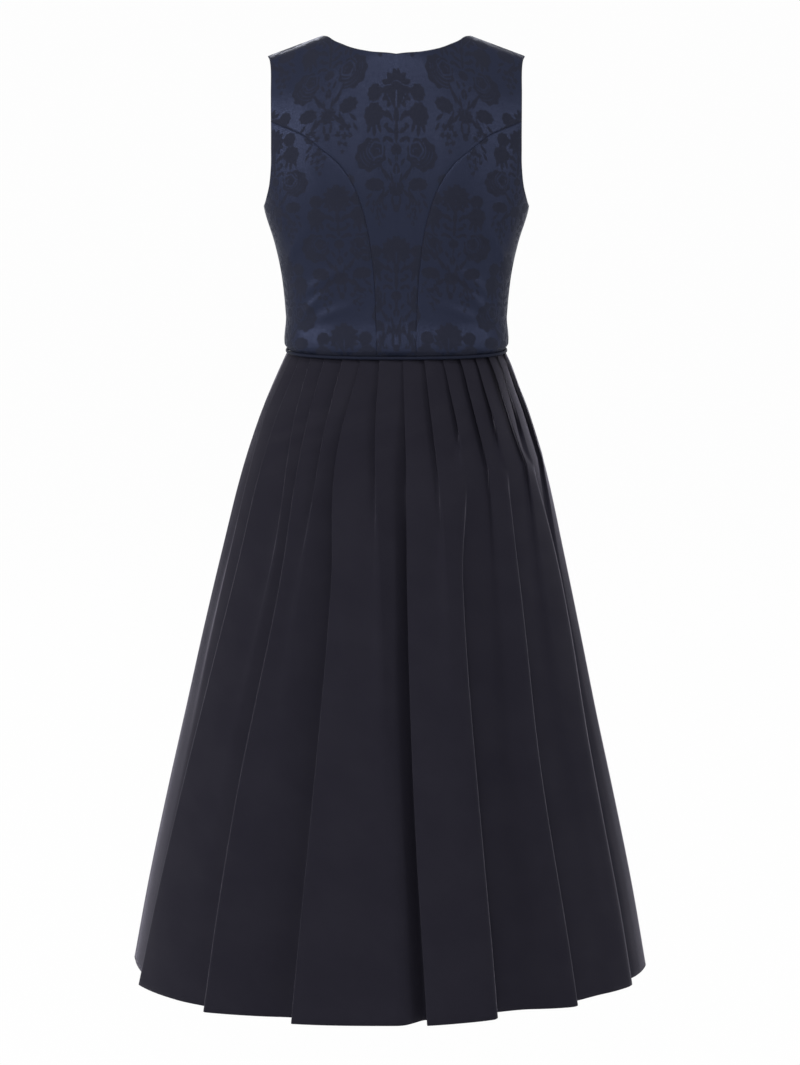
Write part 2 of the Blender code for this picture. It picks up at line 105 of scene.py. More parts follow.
SEAM_FOOT = 0.3875
BACK_NECKLINE = line_of((0, 0.0690), (6, 0.0625), (12, 0.0509), (18, 0.0362), (23, 0.0232),
                        (27.8, 0.0000))
BACK_SHOULDER = line_of((27.8, 0.000), (68.5, 0.000))
BACK_ARMHOLE_UPPER = line_of((68.5, 0.000), (64, 0.030), (63.5, 0.062), (63.3, 0.095))
BACK_ARMHOLE_LOWER = line_of((63.3, 0.095), (63.3, 0.125), (64, 0.155), (67.5, 0.182),
                             (75, 0.2025), (83, 0.211), (90, 0.2125))
BACK_SEAM = line_of((6.5, SEAM_FOOT), (6.8, 0.330), (7.4, 0.285), (8.5, 0.242), (10.4, 0.211),
                    (13.5, 0.187), (19, 0.162), (27, 0.142), (37, 0.122), (48, 0.109),
                    (63.3, 0.095))
SIDE_SEAM = line_of((90, SEAM_FOOT), (90, 0.300), (90, 0.2125))
FRONT_NECKLINE = line_of((180, 0.154), (174, 0.151), (168, 0.139), (161, 0.117),
                         (155.5, 0.0775), (152.4, 0.0395), (150.3, 0.000))
FRONT_SHOULDER = line_of((150.3, 0.000), (110.7, 0.000))
FRONT_ARMHOLE_UPPER = line_of((110.7, 0.000), (118, 0.035), (121.5, 0.065), (123.6, 0.095))
FRONT_ARMHOLE_LOWER = line_of((123.6, 0.095), (124, 0.118), (122.5, 0.146), (118, 0.174),
                              (109.5, 0.198), (99, 0.2095), (90, 0.2125))
FRONT_SEAM = line_of((160, SEAM_FOOT), (156.5, 0.350), (151, 0.300), (147.2, 0.260),
                     (144.8, 0.222), (140.5, 0.187), (134.5, 0.150), (129, 0.120),
                     (123.6, 0.095))

# Where the rows of the centre panels start on their centre lines
BACK_LEVELS = (SEAM_FOOT, 0.330, 0.285, 0.240, 0.205, 0.172, 0.142, 0.120, 0.105, 0.095, 0.087)
FRONT_LEVELS = (SEAM_FOOT, 0.3673, 0.3471, 0.3269, 0.3067, 0.2865, 0.2663, 0.2461, 0.2258)

# Rings of the skirt's smooth outer form
Flare = namedtuple("Flare", "height half_width back front sway")
SKIRT_RINGS = [
    Flare(SKIRT_TOP, 0.1295, 0.0890, 0.0950, 0.000),
    Flare(-0.385, 0.1355, 0.0985, 0.1015, 0.000),
    Flare(-0.410, 0.1460, 0.117, 0.113, 0.001),
    Flare(-0.445, 0.1605, 0.137, 0.127, 0.002),
    Flare(-0.515, 0.1825, 0.160, 0.147, 0.003),
    Flare(-0.605, 0.2045, 0.180, 0.166, 0.004),
    Flare(-0.700, 0.2265, 0.199, 0.184, 0.005),
    Flare(-0.800, 0.2485, 0.215, 0.201, 0.006),
    Flare(-0.910, 0.2730, 0.234, 0.219, 0.007),
    Flare(-1.020, 0.2960, 0.249, 0.235, 0.008),
    Flare(HEM_HEIGHT, 0.3150, 0.261, 0.247, 0.009),
]

# How much higher the hem hangs at each turn
Hang = namedtuple("Hang", "turn rise")
HANGS = [Hang(-180, 0.000), Hang(-120, 0.000), Hang(-95, 0.003), Hang(-70, 0.005),
         Hang(-45, 0.005), Hang(-24, 0.005), Hang(-8, 0.001), Hang(0, 0.000), Hang(180, 0.000)]

# How far each fold of the skirt steps, in metres, at each height. A step over zero faces the
# wearer's left, one under zero their right. A lap over zero hides the fold's inner edge under
# its outer one; under zero the fold is open.
Drop = namedtuple("Drop", "height left_step left_lap right_step right_lap fade_step fade_lap")
DROPS = [
    Drop(SKIRT_TOP, 0.0062, 0.0190, 0.0062, 0.0190, 0.0062, 0.0190),
    Drop(-0.410, 0.0085, 0.0180, 0.0085, 0.0160, 0.0080, 0.0160),
    Drop(-0.445, 0.0105, 0.0150, 0.0085, 0.0080, 0.0080, 0.0120),
    Drop(-0.480, 0.0125, 0.0090, 0.0030, -0.0060, 0.0070, 0.0070),
    Drop(-0.520, 0.0145, 0.0000, -0.0050, -0.0060, 0.0060, 0.0020),
    Drop(-0.600, 0.0180, -0.0025, -0.0120, -0.0040, 0.0045, -0.0060),
    Drop(-0.700, 0.0205, -0.0030, -0.0180, -0.0035, 0.0030, -0.0120),
    Drop(-0.850, 0.0235, -0.0035, -0.0235, -0.0035, 0.0015, -0.0200),
    Drop(-1.000, 0.0260, -0.0040, -0.0260, -0.0035, 0.0010, -0.0250),
    Drop(HEM_HEIGHT, 0.0280, -0.0040, -0.0280, -0.0035, 0.0010, -0.0280),
]

# The pleats, by the turn of the fold's line at five heights, from the right side across the back
# to the left side and then across the front. At the hem a fold keeps a share of its full depth,
# and may stand open by a gap in metres. A fade may stand proud of the slope that it lies on, by a
# share of that slope's depth. A crisp fold has a sharper edge, by a share of the usual rounding.
FOLD_HEIGHTS = (SKIRT_TOP, -0.480, -0.620, -0.850, HEM_HEIGHT)
Fold = namedtuple("Fold", "waist hip thigh knee hem way depth gap proud crisp",
                  defaults=(0.55, 0.0, 0.0, 1.0))
FOLDS = [
    Fold(-87, -86, -86, -86, -88, "right", 0.60),
    Fold(-75, -76, -76, -77, -77, "fade", proud=0.3),
    Fold(-64, -64, -71, -68, -68, "right", 0.70, 0.003),
    Fold(-53, -57, -58, -57, -57, "fade", proud=-0.45),
    Fold(-42, -44, -43, -41, -43, "right", 0.75),
    Fold(-31, -34, -34, -32, -33, "fade", proud=-0.50),
    Fold(-21, -24, -20, -20, -21, "right", 0.90),
    Fold(-11, -13, -14, -14, -15, "fade", proud=0.15),
    Fold(-2, -3, -3, -4, -6, "left", 1.00, -0.010, crisp=0.25),
    Fold(7, 6, 3, 1, 0, "fade", proud=0.85),
    Fold(16, 20, 17, 17, 18, "left", 1.00, -0.006, crisp=0.4),
    Fold(26, 28, 29, 30, 31, "fade", proud=-0.15),
    Fold(38, 37, 36, 40, 41, "left", 0.80, 0.003),
    Fold(48, 45, 44, 50, 54, "fade"),
    Fold(59, 60, 61, 67, 72, "left", 0.75, 0.006),
    Fold(71, 74, 77, 80, 82, "fade"),
    Fold(84, 86, 88, 92, 94, "left"),
    Fold(97, 98, 99, 101, 104, "fade"),
    Fold(109, 110, 112, 114, 117, "left"),
    Fold(120, 121, 123, 126, 127, "fade"),
    Fold(131, 132, 134, 137, 139, "left"),
    Fold(142, 143, 144, 147, 149, "fade"),
    Fold(152, 153, 154, 158, 160, "left"),
    Fold(162, 163, 165, 168, 171, "fade"),
    Fold(172, 174, 176, 179, 182, "left"),
    Fold(182, 183, 185, 189, 191, "fade"),
    Fold(193, 193, 194, 196, 198, "right"),
    Fold(204, 206, 208, 209, 210, "fade"),
    Fold(216, 216, 217, 219, 221, "right"),
    Fold(228, 229, 231, 232, 233, "fade"),
    Fold(240, 241, 242, 243, 244, "right"),
    Fold(252, 253, 254, 255, 257, "fade"),
    Fold(263, 264, 264, 263, 262, "right"),
]

# ---------------------------------------------------------------- reading tables and marks


def read(rows, key, values):
    """Read a table at any values of its first column, on a smooth curve through its rows."""
    rows = sorted(rows, key=lambda row: row[0])
    places = np.array([row[0] for row in rows], dtype=float)
    column = np.array([getattr(row, key) for row in rows], dtype=float)
    return smooth_through(places, column, values)


def smooth_through(places, column, values):
    """A smooth curve through the column at its rising places, read at any values."""
    last = len(places) - 1
    low, high = np.maximum(np.arange(last + 1) - 1, 0), np.minimum(np.arange(last + 1) + 1, last)
    slopes = (column[high] - column[low]) / (places[high] - places[low])
    values = np.clip(values, places[0], places[-1])
    i = np.clip(np.searchsorted(places, values, side="right") - 1, 0, last - 1)
    span = places[i + 1] - places[i]
    t = (values - places[i]) / span
    return ((2 * t**3 - 3 * t**2 + 1) * column[i] + (3 * t**2 - 2 * t**3) * column[i + 1]
            + (t**3 - 2 * t**2 + t) * span * slopes[i] + (t**3 - t**2) * span * slopes[i + 1])


def smooth_step(values, start, end):
    t = np.clip((np.asarray(values, dtype=float) - start) / (end - start), 0, 1)
    return t * t * (3 - 2 * t)


def signed_power(values, power):
    return np.copysign(np.abs(values) ** power, values)


def along(marks, t):
    """Points at shares t of a line of marks, on a smooth curve through them, as (turn, down)."""
    marks = np.array(marks, dtype=float)
    place = np.clip(t, 0, 1) * (len(marks) - 1)
    index = np.minimum(place.astype(int), len(marks) - 2)
    f = (place - index)[..., None]
    a, b = marks[np.maximum(index - 1, 0)], marks[index]
    c, d = marks[index + 1], marks[np.minimum(index + 2, len(marks) - 1)]
    return b + 0.5 * f * (c - a + f * (2 * a - 5 * b + 4 * c - d + f * (3 * (b - c) + d - a)))


def straight(start, end):
    """A straight line between two marks, as a function of the share along it."""
    start, end = np.array(start, dtype=float), np.array(end, dtype=float)
    return lambda t: start + (end - start) * np.asarray(t, dtype=float)[..., None]


def joined(first, second, share):
    """One line from two, the first filling the given share of it."""
    def line(t):
        t = np.asarray(t, dtype=float)
        return np.where((t <= share)[..., None], along(first, t / share),
                        along(second, (t - share) / (1 - share)))

    return line


# ---------------------------------------------------------------- the form of the bodice


def soft_dip(share, down):
    """How far a ring has dipped at a share of its half width, rounded off at the centre."""
    soft = CENTRE_ROUNDING * smooth_step(down, ROUNDING_START, ROUNDING_FULL)
    return (np.sqrt(share**2 + soft**2) - soft) / (np.sqrt(1 + soft**2) - soft)


def ring_column(key, down, behind):
    """A column of the body's rings, of its back or its front half where the two differ."""
    if key in ("height", "depth"):
        return np.where(behind, read(BODY_RINGS, "back_" + key, down),
                        read(BODY_RINGS, "front_" + key, down))
    return read(BODY_RINGS, key, down)


def half_section(turn):
    """Whether turns lie behind, how square that half is, and their share of the half width."""
    behind = np.cos(np.radians(turn)) >= 0
    square = np.where(behind, BACK_SQUARE, FRONT_SQUARE)
    return behind, square, np.abs(np.sin(np.radians(turn))) ** (2 / square)


def ring_level(down, behind, dip):
    """The height of the rings at a share of their dip to the side."""
    height = ring_column("height", down, behind)
    return height + (ring_column("side_height", down, behind) - height) * dip


def body_point(turn, down):
    """Points of the body form, by turn and distance down the cloth."""
    turn, down = np.broadcast_arrays(np.asarray(turn, dtype=float), np.asarray(down, dtype=float))
    behind, square, share = half_section(turn)
    depth, half_width, side_set = (ring_column(key, down, behind)
                                   for key in ("depth", "half_width", "side_set"))
    x = np.copysign(half_width * share, np.sin(np.radians(turn)))
    y = side_set + (depth - side_set) * np.abs(np.cos(np.radians(turn))) ** (2 / square)
    z = ring_level(down, behind, soft_dip(share, down))
    swell = sum(np.exp(-((x - out) / BUST.width) ** 2 / 2) for out in (-BUST.out, BUST.out))
    swell = swell * np.exp(-((z - BUST.height) / BUST.length) ** 2 / 2)
    return np.stack([x, np.where(behind, y, -y - BUST.rise * swell), z], axis=-1)


def settled(marks):
    """Restate marks that were set on straight-dipping rings, so they keep their place."""
    turn, down = np.array(marks, dtype=float).T
    behind, square, share = half_section(turn)
    x = ring_column("half_width", down, behind) * share
    z = ring_level(down, behind, share)
    low, high = np.zeros_like(down), np.full_like(down, WAIST_DOWN)
    for _ in range(HALVINGS):
        middle = (low + high) / 2
        part = np.minimum(x / ring_column("half_width", middle, behind), 1)
        above = ring_level(middle, behind, soft_dip(part, middle)) > z
        low, high = np.where(above, middle, low), np.where(above, high, middle)
    part = np.minimum(x / ring_column("half_width", low, behind), 1)
    turned = np.degrees(np.arcsin(part ** (square / 2)))
    return line_of(*zip(np.where(behind, turned, 180 - turned), low))


def lap_lift(turn):
    """How far the right front stands out, so that it passes over the left one."""
    return LAP_LIFT * smooth_step(turn, *LAP_RISE)


def past_centre(distance):
    """The turn of a line that lies a distance past centre front."""
    share = distance / BODY_RINGS[-1].half_width
    return 180 + math.degrees(math.asin(share ** (FRONT_SQUARE / 2)))


def pattern_marks(bottom, top, left, right, columns, rows, fade=2):
    """Fill a piece between its four lines: marks by shares u across and v up."""
    u, v = columns[None, :, None], rows[:, None, None]
    sides = (1 - u) * left(rows)[:, None] + u * right(rows)[:, None]
    v = v**fade  # the top line's shape fades out quickly down the piece
    ends = (1 - v) * bottom(columns)[None] + v * top(columns)[None]
    ends_at = [line(np.array([0.0, 1.0])) for line in (bottom, top)]
    corners = ((1 - v) * ((1 - u) * ends_at[0][0] + u * ends_at[0][1])
               + v * ((1 - u) * ends_at[1][0] + u * ends_at[1][1]))
    return sides + ends - corners


def grid_normals(points):
    """Outward directions of a grid of points whose rows run up and columns by rising turn."""
    across = np.gradient(points, axis=1)
    upward = np.gradient(points, axis=0)
    normal = np.cross(upward, across)
    length = np.linalg.norm(normal, axis=-1, keepdims=True)
    return normal / np.maximum(length, 1e-12)


def run_lengths(points, axis):
    """Distance along a grid's rows or columns from its first point."""
    steps = np.linalg.norm(np.diff(points, axis=axis), axis=-1)
    zero = np.zeros_like(np.take(steps, [0], axis=axis))
    return np.concatenate([zero, np.cumsum(steps, axis=axis)], axis=axis)


# ---------------------------------------------------------------- the damask's figure

# One unit of the damask, in millimetres from its pair of low leaves, drawn for its right half and
# mirrored. Angles are in degrees from across; long and wide are half sizes.
Figure = namedtuple("Figure", "kind across up long wide angle")
UNIT_FIGURES = [Figure(*row) for row in (
    # the crown flower, with its side petals and their fringes
    ("crown", 0, 88, 18.5, 18.0, 0), ("lobe", 25.0, 87, 8.8, 8.2, 0),
    ("lobe", 26.5, 68.5, 11.5, 11.0, 0), ("leaf", 19.5, 57, 6.0, 2.3, 72),
    ("leaf", 25.5, 55, 7.0, 2.5, 86), ("leaf", 31.5, 58, 6.5, 2.4, 104),
    ("leaf", 13.0, 68, 6.5, 2.4, 34), ("leaf", 7.5, 66, 7.0, 2.4, 52),
    ("leaf", 0, 66, 7.0, 3.2, 90),
    # the stem with its two pairs of curled arms, down to the urn
    ("leaf", 0, 52, 11.0, 2.2, 90), ("leaf", 7.5, 53.5, 6.0, 2.6, 24),
    ("leaf", 12.0, 58, 3.6, 2.4, -40), ("leaf", 7.5, 45.0, 6.5, 2.4, 28),
    ("leaf", 13.5, 45.5, 3.6, 2.4, -62), ("lobe", 0, 35.0, 6.6, 5.8, 0),
    ("blossom", 0, 25.5, 2.8, 2.8, 0), ("leaf", 7.3, 23.0, 5.0, 2.0, 62),
    ("leaf", 0, 15.5, 6.2, 4.4, 90),
    # the roses and their stems
    ("rose", 29.5, 31, 18.5, 18.0, 0), ("leaf", 14.5, 13, 12.0, 1.7, 62),
    ("leaf", 9.5, 9, 9.0, 1.5, 56), ("leaf", 4.6, 6, 8.0, 1.4, 74),
    # the low leaves and the flower between them
    ("lobe", 25.0, 0, 11.8, 7.6, 4), ("crown", 0, -5, 10.5, 9.0, 180),
    ("leaf", 11.5, -10, 6.5, 2.2, -52), ("leaf", 4.0, -18, 6.5, 2.0, 82),
    ("lobe", 0, -26, 3.6, 4.6, 0),
    # the hanging sprays of small blossoms
    ("leaf", 15.5, -10, 8.0, 1.6, -74), ("leaf", 19.5, -14, 8.5, 1.5, -60),
    ("blossom", 17.5, -19, 4.4, 4.4, 20), ("blossom", 25.0, -20, 4.2, 4.2, 0),
    ("blossom", 12.5, -25, 4.0, 4.0, 40), ("blossom", 20.5, -28, 4.4, 4.4, 10),
    ("blossom", 27.5, -28, 3.6, 3.6, 50), ("blossom", 15.0, -34, 3.8, 3.8, 0),
    ("blossom", 22.0, -36, 3.6, 3.6, 30), ("blossom", 18.5, -43, 3.4, 3.4, 15),
    ("leaf", 31.0, -12, 6.0, 2.0, -40), ("leaf", 33.5, -21, 5.5, 1.8, -58),
)]
REPEAT_ACROSS, REPEAT_UP = 162.0, 163.0
UNIT_LOW = -48.0  # the foot of one repeat, below the low leaves
BARE_GROUND = -3.0  # the depth that stands for cloth far from any figure
FIGURE_EDGE = 0.25  # half the soft edge between figure and ground


def leaf_depth(x, y, size):
    """A scalloped leaf with a pale midrib, in a frame that its outline fills from -1 to 1."""
    outline = (1 - x * x) * (0.88 + 0.12 * np.cos(13 * x)) - np.abs(y)
    rib = np.abs(y) + smooth_step(x, 0.45, 0.75) - 0.5 / size
    return np.minimum(outline, rib if size > 4 else outline) * size


def lobe_depth(x, y, size):
    """A full rounded petal with a scalloped edge and three short pale veins from its foot."""
    reach, angle = np.hypot(x, y), np.arctan2(y, x)
    outline = 0.93 + 0.07 * np.cos(9 * angle + 0.6) - reach
    vein = np.abs(np.sin(2.5 * np.arctan2(x, y + 1.05))) * np.hypot(x, y + 1.05) / 2.5 - 0.035
    return np.minimum(outline, vein + 2 * smooth_step(y, -0.55, -0.15)) * size


def crown_depth(x, y, size):
    """A wide flower of small outer petals, with pale lines that fan out from its foot."""
    reach, angle = np.hypot(x, y), np.arctan2(y, x)
    outline = 0.88 + 0.12 * np.cos(13 * angle) - reach
    fan, length = np.arctan2(x, y + 1.1), np.hypot(x, y + 1.1)
    line = np.abs(np.sin(5.5 * fan)) * length / 5.5 - 0.030
    edge = np.abs(length - 1.45 - 0.06 * np.cos(11 * fan)) - 0.025
    return np.minimum(np.minimum(outline, line + 2 * smooth_step(length, 1.10, 1.30)), edge) * size


def rose_depth(x, y, size):
    """A rose seen from the side: a round eye set inward and up, and wide petals outside it."""
    reach, angle = np.hypot(x, y), np.arctan2(y, x)
    depth = 0.94 + 0.06 * np.cos(9 * angle + 0.4) - reach
    eye, round_eye = np.hypot(x + 0.36, y - 0.26), np.arctan2(y - 0.26, x + 0.36)
    outside = 2 * smooth_step(-np.cos(round_eye + 0.6), 0.1, 0.5)
    depth = np.minimum(depth, np.abs(eye - 0.42 - 0.03 * np.cos(5 * round_eye)) - 0.055)
    depth = np.minimum(depth, np.abs(eye - 0.60) - 0.035 + outside)
    for ring in (0.82, 1.02):
        depth = np.minimum(depth, np.abs(eye - ring) - 0.026 + outside
                           + 2 * smooth_step(np.sin(round_eye), 0.0, 0.4))
    heart = np.abs(np.hypot(x + 0.42, y - 0.20) - 0.15) - 0.035
    return np.minimum(depth, heart + 2 * smooth_step(-np.sin(round_eye - 0.8), 0.2, 0.6)) * size


def blossom_depth(x, y, size):
    """A small five-petalled blossom with a pale eye."""
    reach, angle = np.hypot(x, y), np.arctan2(y, x)
    outline = 0.76 + 0.22 * np.cos(5 * angle + 0.6) - reach
    return np.minimum(outline, reach - 0.16) * size


FIGURE_DEPTHS = {"leaf": leaf_depth, "lobe": lobe_depth, "crown": crown_depth,
                 "rose": rose_depth, "blossom": blossom_depth}


def damask_depth(cut):
    """How deep in the damask's figure each point of the flat cloth lies, in millimetres."""
    depth = np.full(cut.shape[:-1], BARE_GROUND)
    for drop in (0.0, 0.5):
        across = cut[..., 0] * 1000 + drop * REPEAT_ACROSS
        across = np.abs((across + REPEAT_ACROSS / 2) % REPEAT_ACROSS - REPEAT_ACROSS / 2)
        up = (cut[..., 1] * 1000 + drop * REPEAT_UP - UNIT_LOW) % REPEAT_UP + UNIT_LOW
        for figure in UNIT_FIGURES:
            angle = math.radians(figure.angle)
            x, y = across - figure.across, up - figure.up
            x, y = (x * math.cos(angle) + y * math.sin(angle),
                    y * math.cos(angle) - x * math.sin(angle))
            size = min(figure.long, figure.wide)
            depth = np.maximum(depth, FIGURE_DEPTHS[figure.kind](x / figure.long, y / figure.wide,
                                                                 size))
    return depth


# ---------------------------------------------------------------- wiring of shader nodes


class Wiring:
    """Adds value nodes to one node tree and links them."""

    def __init__(self, tree):
        self.tree = tree

    def add(self, kind, **settings):
        node = self.tree.nodes.new(kind)
        for name, value in settings.items():
            setattr(node, name, value)
        return node

    def feed(self, socket, value):
        """Link an input to another node's output, or set it to a constant."""
        if isinstance(value, bpy.types.NodeSocket):
            self.tree.links.new(value, socket)
        else:
            socket.default_value = value

    def set(self, node, **inputs):
        """Feed a node's inputs by their names."""
        for name, value in inputs.items():
            self.feed(node.inputs[name.replace("_", " ")], value)
        return node.outputs

    def fill(self, node, *values):
        """Feed a node's inputs in their order."""
        for socket, value in zip(node.inputs, values):
            self.feed(socket, value)
        return node.outputs[0]

    def math(self, operation, *values):
        return self.fill(self.add("ShaderNodeMath", operation=operation), *values)

    def ramp(self, value, low, high, start=0.0, end=1.0, kind="SMOOTHSTEP"):
        node = self.add("ShaderNodeMapRange", interpolation_type=kind)
        return self.set(node, Value=value, From_Min=low, From_Max=high, To_Min=start,
                        To_Max=end)["Result"]

    def dye(self, mottle, colour, deep):
        """A colour that a mottle varies toward a deeper one."""
        return self.mix_colour(mottle, (*colour, 1), (*deep, 1))

    def mix_colour(self, share, first, second):
        node = self.add("ShaderNodeMix", data_type="RGBA")
        return self.set(node, Factor=share, A=first, B=second)["Result"]

    def noise(self, place, scale, detail=2.0, roughness=0.5):
        return self.set(self.add("ShaderNodeTexNoise"), Vector=place, Scale=scale, Detail=detail,
                        Roughness=roughness)["Fac"]

    def threads(self, pitch, slant=0.0):
        """The height and mottle of a cloth's threads, where each point lies on its flat cloth."""
        return self.set(self.add("ShaderNodeGroup", node_tree=threads_group()),
                        Cut=self.place_on_cloth(), Pitch=pitch, Slant=slant)

    def place_on_cloth(self):
        return self.add("ShaderNodeAttribute", attribute_name="cut").outputs["Vector"]

    def bump(self, height, distance, strength):
        return self.set(self.add("ShaderNodeBump"), Height=height, Distance=distance,
                        Strength=strength)["Normal"]


THREADS = "Cloth Threads"
THREADS_SOCKETS = (("INPUT", "Cut", "Vector"), ("INPUT", "Pitch", "Float"),
                   ("INPUT", "Slant", "Float"), ("OUTPUT", "Height", "Float"),
                   ("OUTPUT", "Mottle", "Float"))


def threads_group():
    """Fine threads across the cut: a height for bumps, and a slow mottle of the dye."""
    if THREADS in bpy.data.node_groups:
        return bpy.data.node_groups[THREADS]
    tree = bpy.data.node_groups.new(THREADS, "ShaderNodeTree")
    for way, name, kind in THREADS_SOCKETS:
        tree.interface.new_socket(name, in_out=way, socket_type="NodeSocket" + kind)
    wires = Wiring(tree)
    entry = wires.add("NodeGroupInput").outputs
    x, y, _ = wires.set(wires.add("ShaderNodeSeparateXYZ"), Vector=entry["Cut"])
    turns = wires.math("DIVIDE", 2 * math.pi, entry["Pitch"])
    slanted = wires.math("ADD", x, wires.math("MULTIPLY", y, entry["Slant"]))
    warp = wires.math("SINE", wires.math("MULTIPLY", slanted, turns))
    weft = wires.math("SINE", wires.math("MULTIPLY", y, turns))
    wires.set(wires.add("NodeGroupOutput"),
              Height=wires.math("MULTIPLY_ADD", warp, 0.5, wires.math("MULTIPLY", weft, 0.3)),
              Mottle=wires.noise(entry["Cut"], scale=55.0, detail=4.0, roughness=0.6))
    return tree


def new_material(name):
    made = bpy.data.materials.new(name)
    made.use_nodes = True
    return made, Wiring(made.node_tree), made.node_tree.nodes["Principled BSDF"]


# The pitch of the threads in metres; how much darker the satin of the cord and buttons is than the
# damask's deep colours, as painted shade for the dark line under the waist piping; and how much
# darker the lining is where its dye is deeper
FINE_THREAD, TWILL_THREAD = 0.0004, 0.0007
SATIN_PAINTED_SHADE, LINING_SHADE = 0.75, 0.8
FIGURE_LUSTRE = 0.05  # how much the dull figure's gloss takes the dye's colour
SATIN_DULLER = 0.18  # how much rougher the satin is than the damask's ground
GLOSS_TINT = (0.16, 0.19, 0.30, 1)  # the dye's colour in the gloss of damask and satin


def damask(wires, shader, cloth):
    depth = wires.add("ShaderNodeAttribute", attribute_name="figure").outputs["Fac"]
    mask = wires.ramp(depth, -FIGURE_EDGE, FIGURE_EDGE)
    threads = wires.threads(FINE_THREAD)
    ground = wires.dye(threads["Mottle"], cloth.ground_colour, cloth.ground_deep)
    figure = wires.dye(threads["Mottle"], cloth.figure_colour, cloth.figure_deep)
    relief = wires.math("MULTIPLY_ADD", mask, 0.6, threads["Height"])
    wires.set(shader, Base_Color=wires.mix_colour(mask, ground, figure),
              Roughness=wires.ramp(mask, 0, 1, cloth.ground_roughness, cloth.figure_roughness,
                                   kind="LINEAR"),
              Metallic=wires.ramp(mask, 0, 1, cloth.ground_sheen, FIGURE_LUSTRE, kind="LINEAR"),
              Normal=wires.bump(relief, distance=0.00006, strength=0.5),
              Specular_IOR_Level=0.10, Specular_Tint=GLOSS_TINT,
              Sheen_Weight=0.04, Sheen_Roughness=0.35, Sheen_Tint=(0.62, 0.68, 0.95, 1))


def satin(wires, shader, cloth):
    place = wires.add("ShaderNodeTexCoord").outputs["Object"]
    fine = wires.noise(place, scale=2600.0, detail=1.0)
    # The satin is the damask's deep colours darkened: painted shade for the dark line under the
    # waist piping, carried onto the buttons too
    wires.set(shader, Base_Color=wires.dye(wires.noise(place, scale=60.0, detail=3.0),
                                           [v * SATIN_PAINTED_SHADE for v in cloth.ground_deep],
                                           [v * SATIN_PAINTED_SHADE for v in cloth.figure_deep]),
              Roughness=cloth.ground_roughness + SATIN_DULLER, Metallic=0.10,
              Normal=wires.bump(fine, distance=0.00005, strength=0.5),
              Specular_IOR_Level=0.05, Specular_Tint=GLOSS_TINT)


def lining(wires, shader, cloth):
    threads = wires.threads(FINE_THREAD)
    wires.set(shader, Base_Color=wires.dye(threads["Mottle"], cloth.lining_colour,
                                           [v * LINING_SHADE for v in cloth.lining_colour]),
              Roughness=0.6, IOR=1.2,
              Normal=wires.bump(threads["Height"], distance=0.00004, strength=0.4))


def skirt_twill(wires, shader, cloth):
    threads = wires.threads(TWILL_THREAD, slant=1.0)
    slow = wires.noise(wires.place_on_cloth(), scale=18.0)
    wires.set(shader, Base_Color=wires.dye(threads["Mottle"], cloth.skirt_colour,
                                           cloth.skirt_deep),
              Roughness=wires.ramp(slow, 0.3, 0.7, start=0.74, end=0.84), IOR=1.2,
              Normal=wires.bump(threads["Height"], distance=0.00005, strength=0.35),
              Sheen_Weight=0.34, Sheen_Roughness=0.30, Sheen_Tint=(0.86, 0.82, 1.0, 1))


def thread(wires, shader, cloth):
    strands = wires.noise(wires.add("ShaderNodeTexCoord").outputs["Object"], scale=1800.0)
    wires.set(shader, Base_Color=wires.dye(strands, cloth.ground_deep, cloth.ground_colour),
              Roughness=0.6, Specular_IOR_Level=0.25,
              Normal=wires.bump(strands, distance=0.0001, strength=0.6))


def finish(look):
    """The navy material of a look, made from the settings when it is first called for."""
    name = "navy_" + look.__name__
    made = bpy.data.materials.get(name)
    if made is None:
        made, wires, shader = new_material(name)
        look(wires, shader, bpy.context.scene.dirndl_cloth)
    return made


# ---------------------------------------------------------------- building meshes


def measure(name):
    """A size from the settings, in metres, to the micrometre."""
    return round(getattr(bpy.context.scene.dirndl_sizes, name), 6)


def grid_quads(index):
    """The quads between a grid's points, by their numbers."""
    corners = [index[:-1, :-1], index[1:, :-1], index[1:, 1:], index[:-1, 1:]]
    return np.stack(corners, axis=-1).reshape(-1, 4).tolist()


def mesh_from_grid(name, points, cut, figure=None):
    """A sheet of quads from a grid of points, facing outward, with its cut coordinates stored."""
    rows, columns = points.shape[:2]
    mesh = bpy.data.meshes.new(name)
    mesh.from_pydata(points.reshape(-1, 3).tolist(), [],
                     grid_quads(np.arange(rows * columns).reshape(rows, columns)))
    layer = mesh.attributes.new("cut", "FLOAT_VECTOR", "POINT")
    flat = np.zeros((rows * columns, 3), dtype=np.float32)
    flat[:, :2] = cut.reshape(-1, 2)
    layer.data.foreach_set("vector", flat.ravel())
    if figure is not None:
        layer = mesh.attributes.new("figure", "FLOAT", "POINT")
        layer.data.foreach_set("value", figure.astype(np.float32).ravel())
    mesh.shade_smooth()
    return mesh


def add_object(name, data):
    made = bpy.data.objects.new(name, data)
    bpy.context.scene.collection.objects.link(made)
    return made


def add_piece(name, data, looks, node=None):
    """Put a piece in the scene, riding the root, in place of its CAD node if it has one."""
    piece = add_object(name, data)
    for look in looks:
        data.materials.append(finish(look))
    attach(piece, "root")
    if node:
        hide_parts(node)
    return piece


def thicken(piece, thickness):
    """Give a shell its cloth's thickness, inward, with its second material inside."""
    wall = piece.modifiers.new("Thickness", "SOLIDIFY")
    wall.thickness = thickness
    wall.offset = -1
    wall.use_even_offset = False
    wall.material_offset = 1


# ---------------------------------------------------------------- bodice

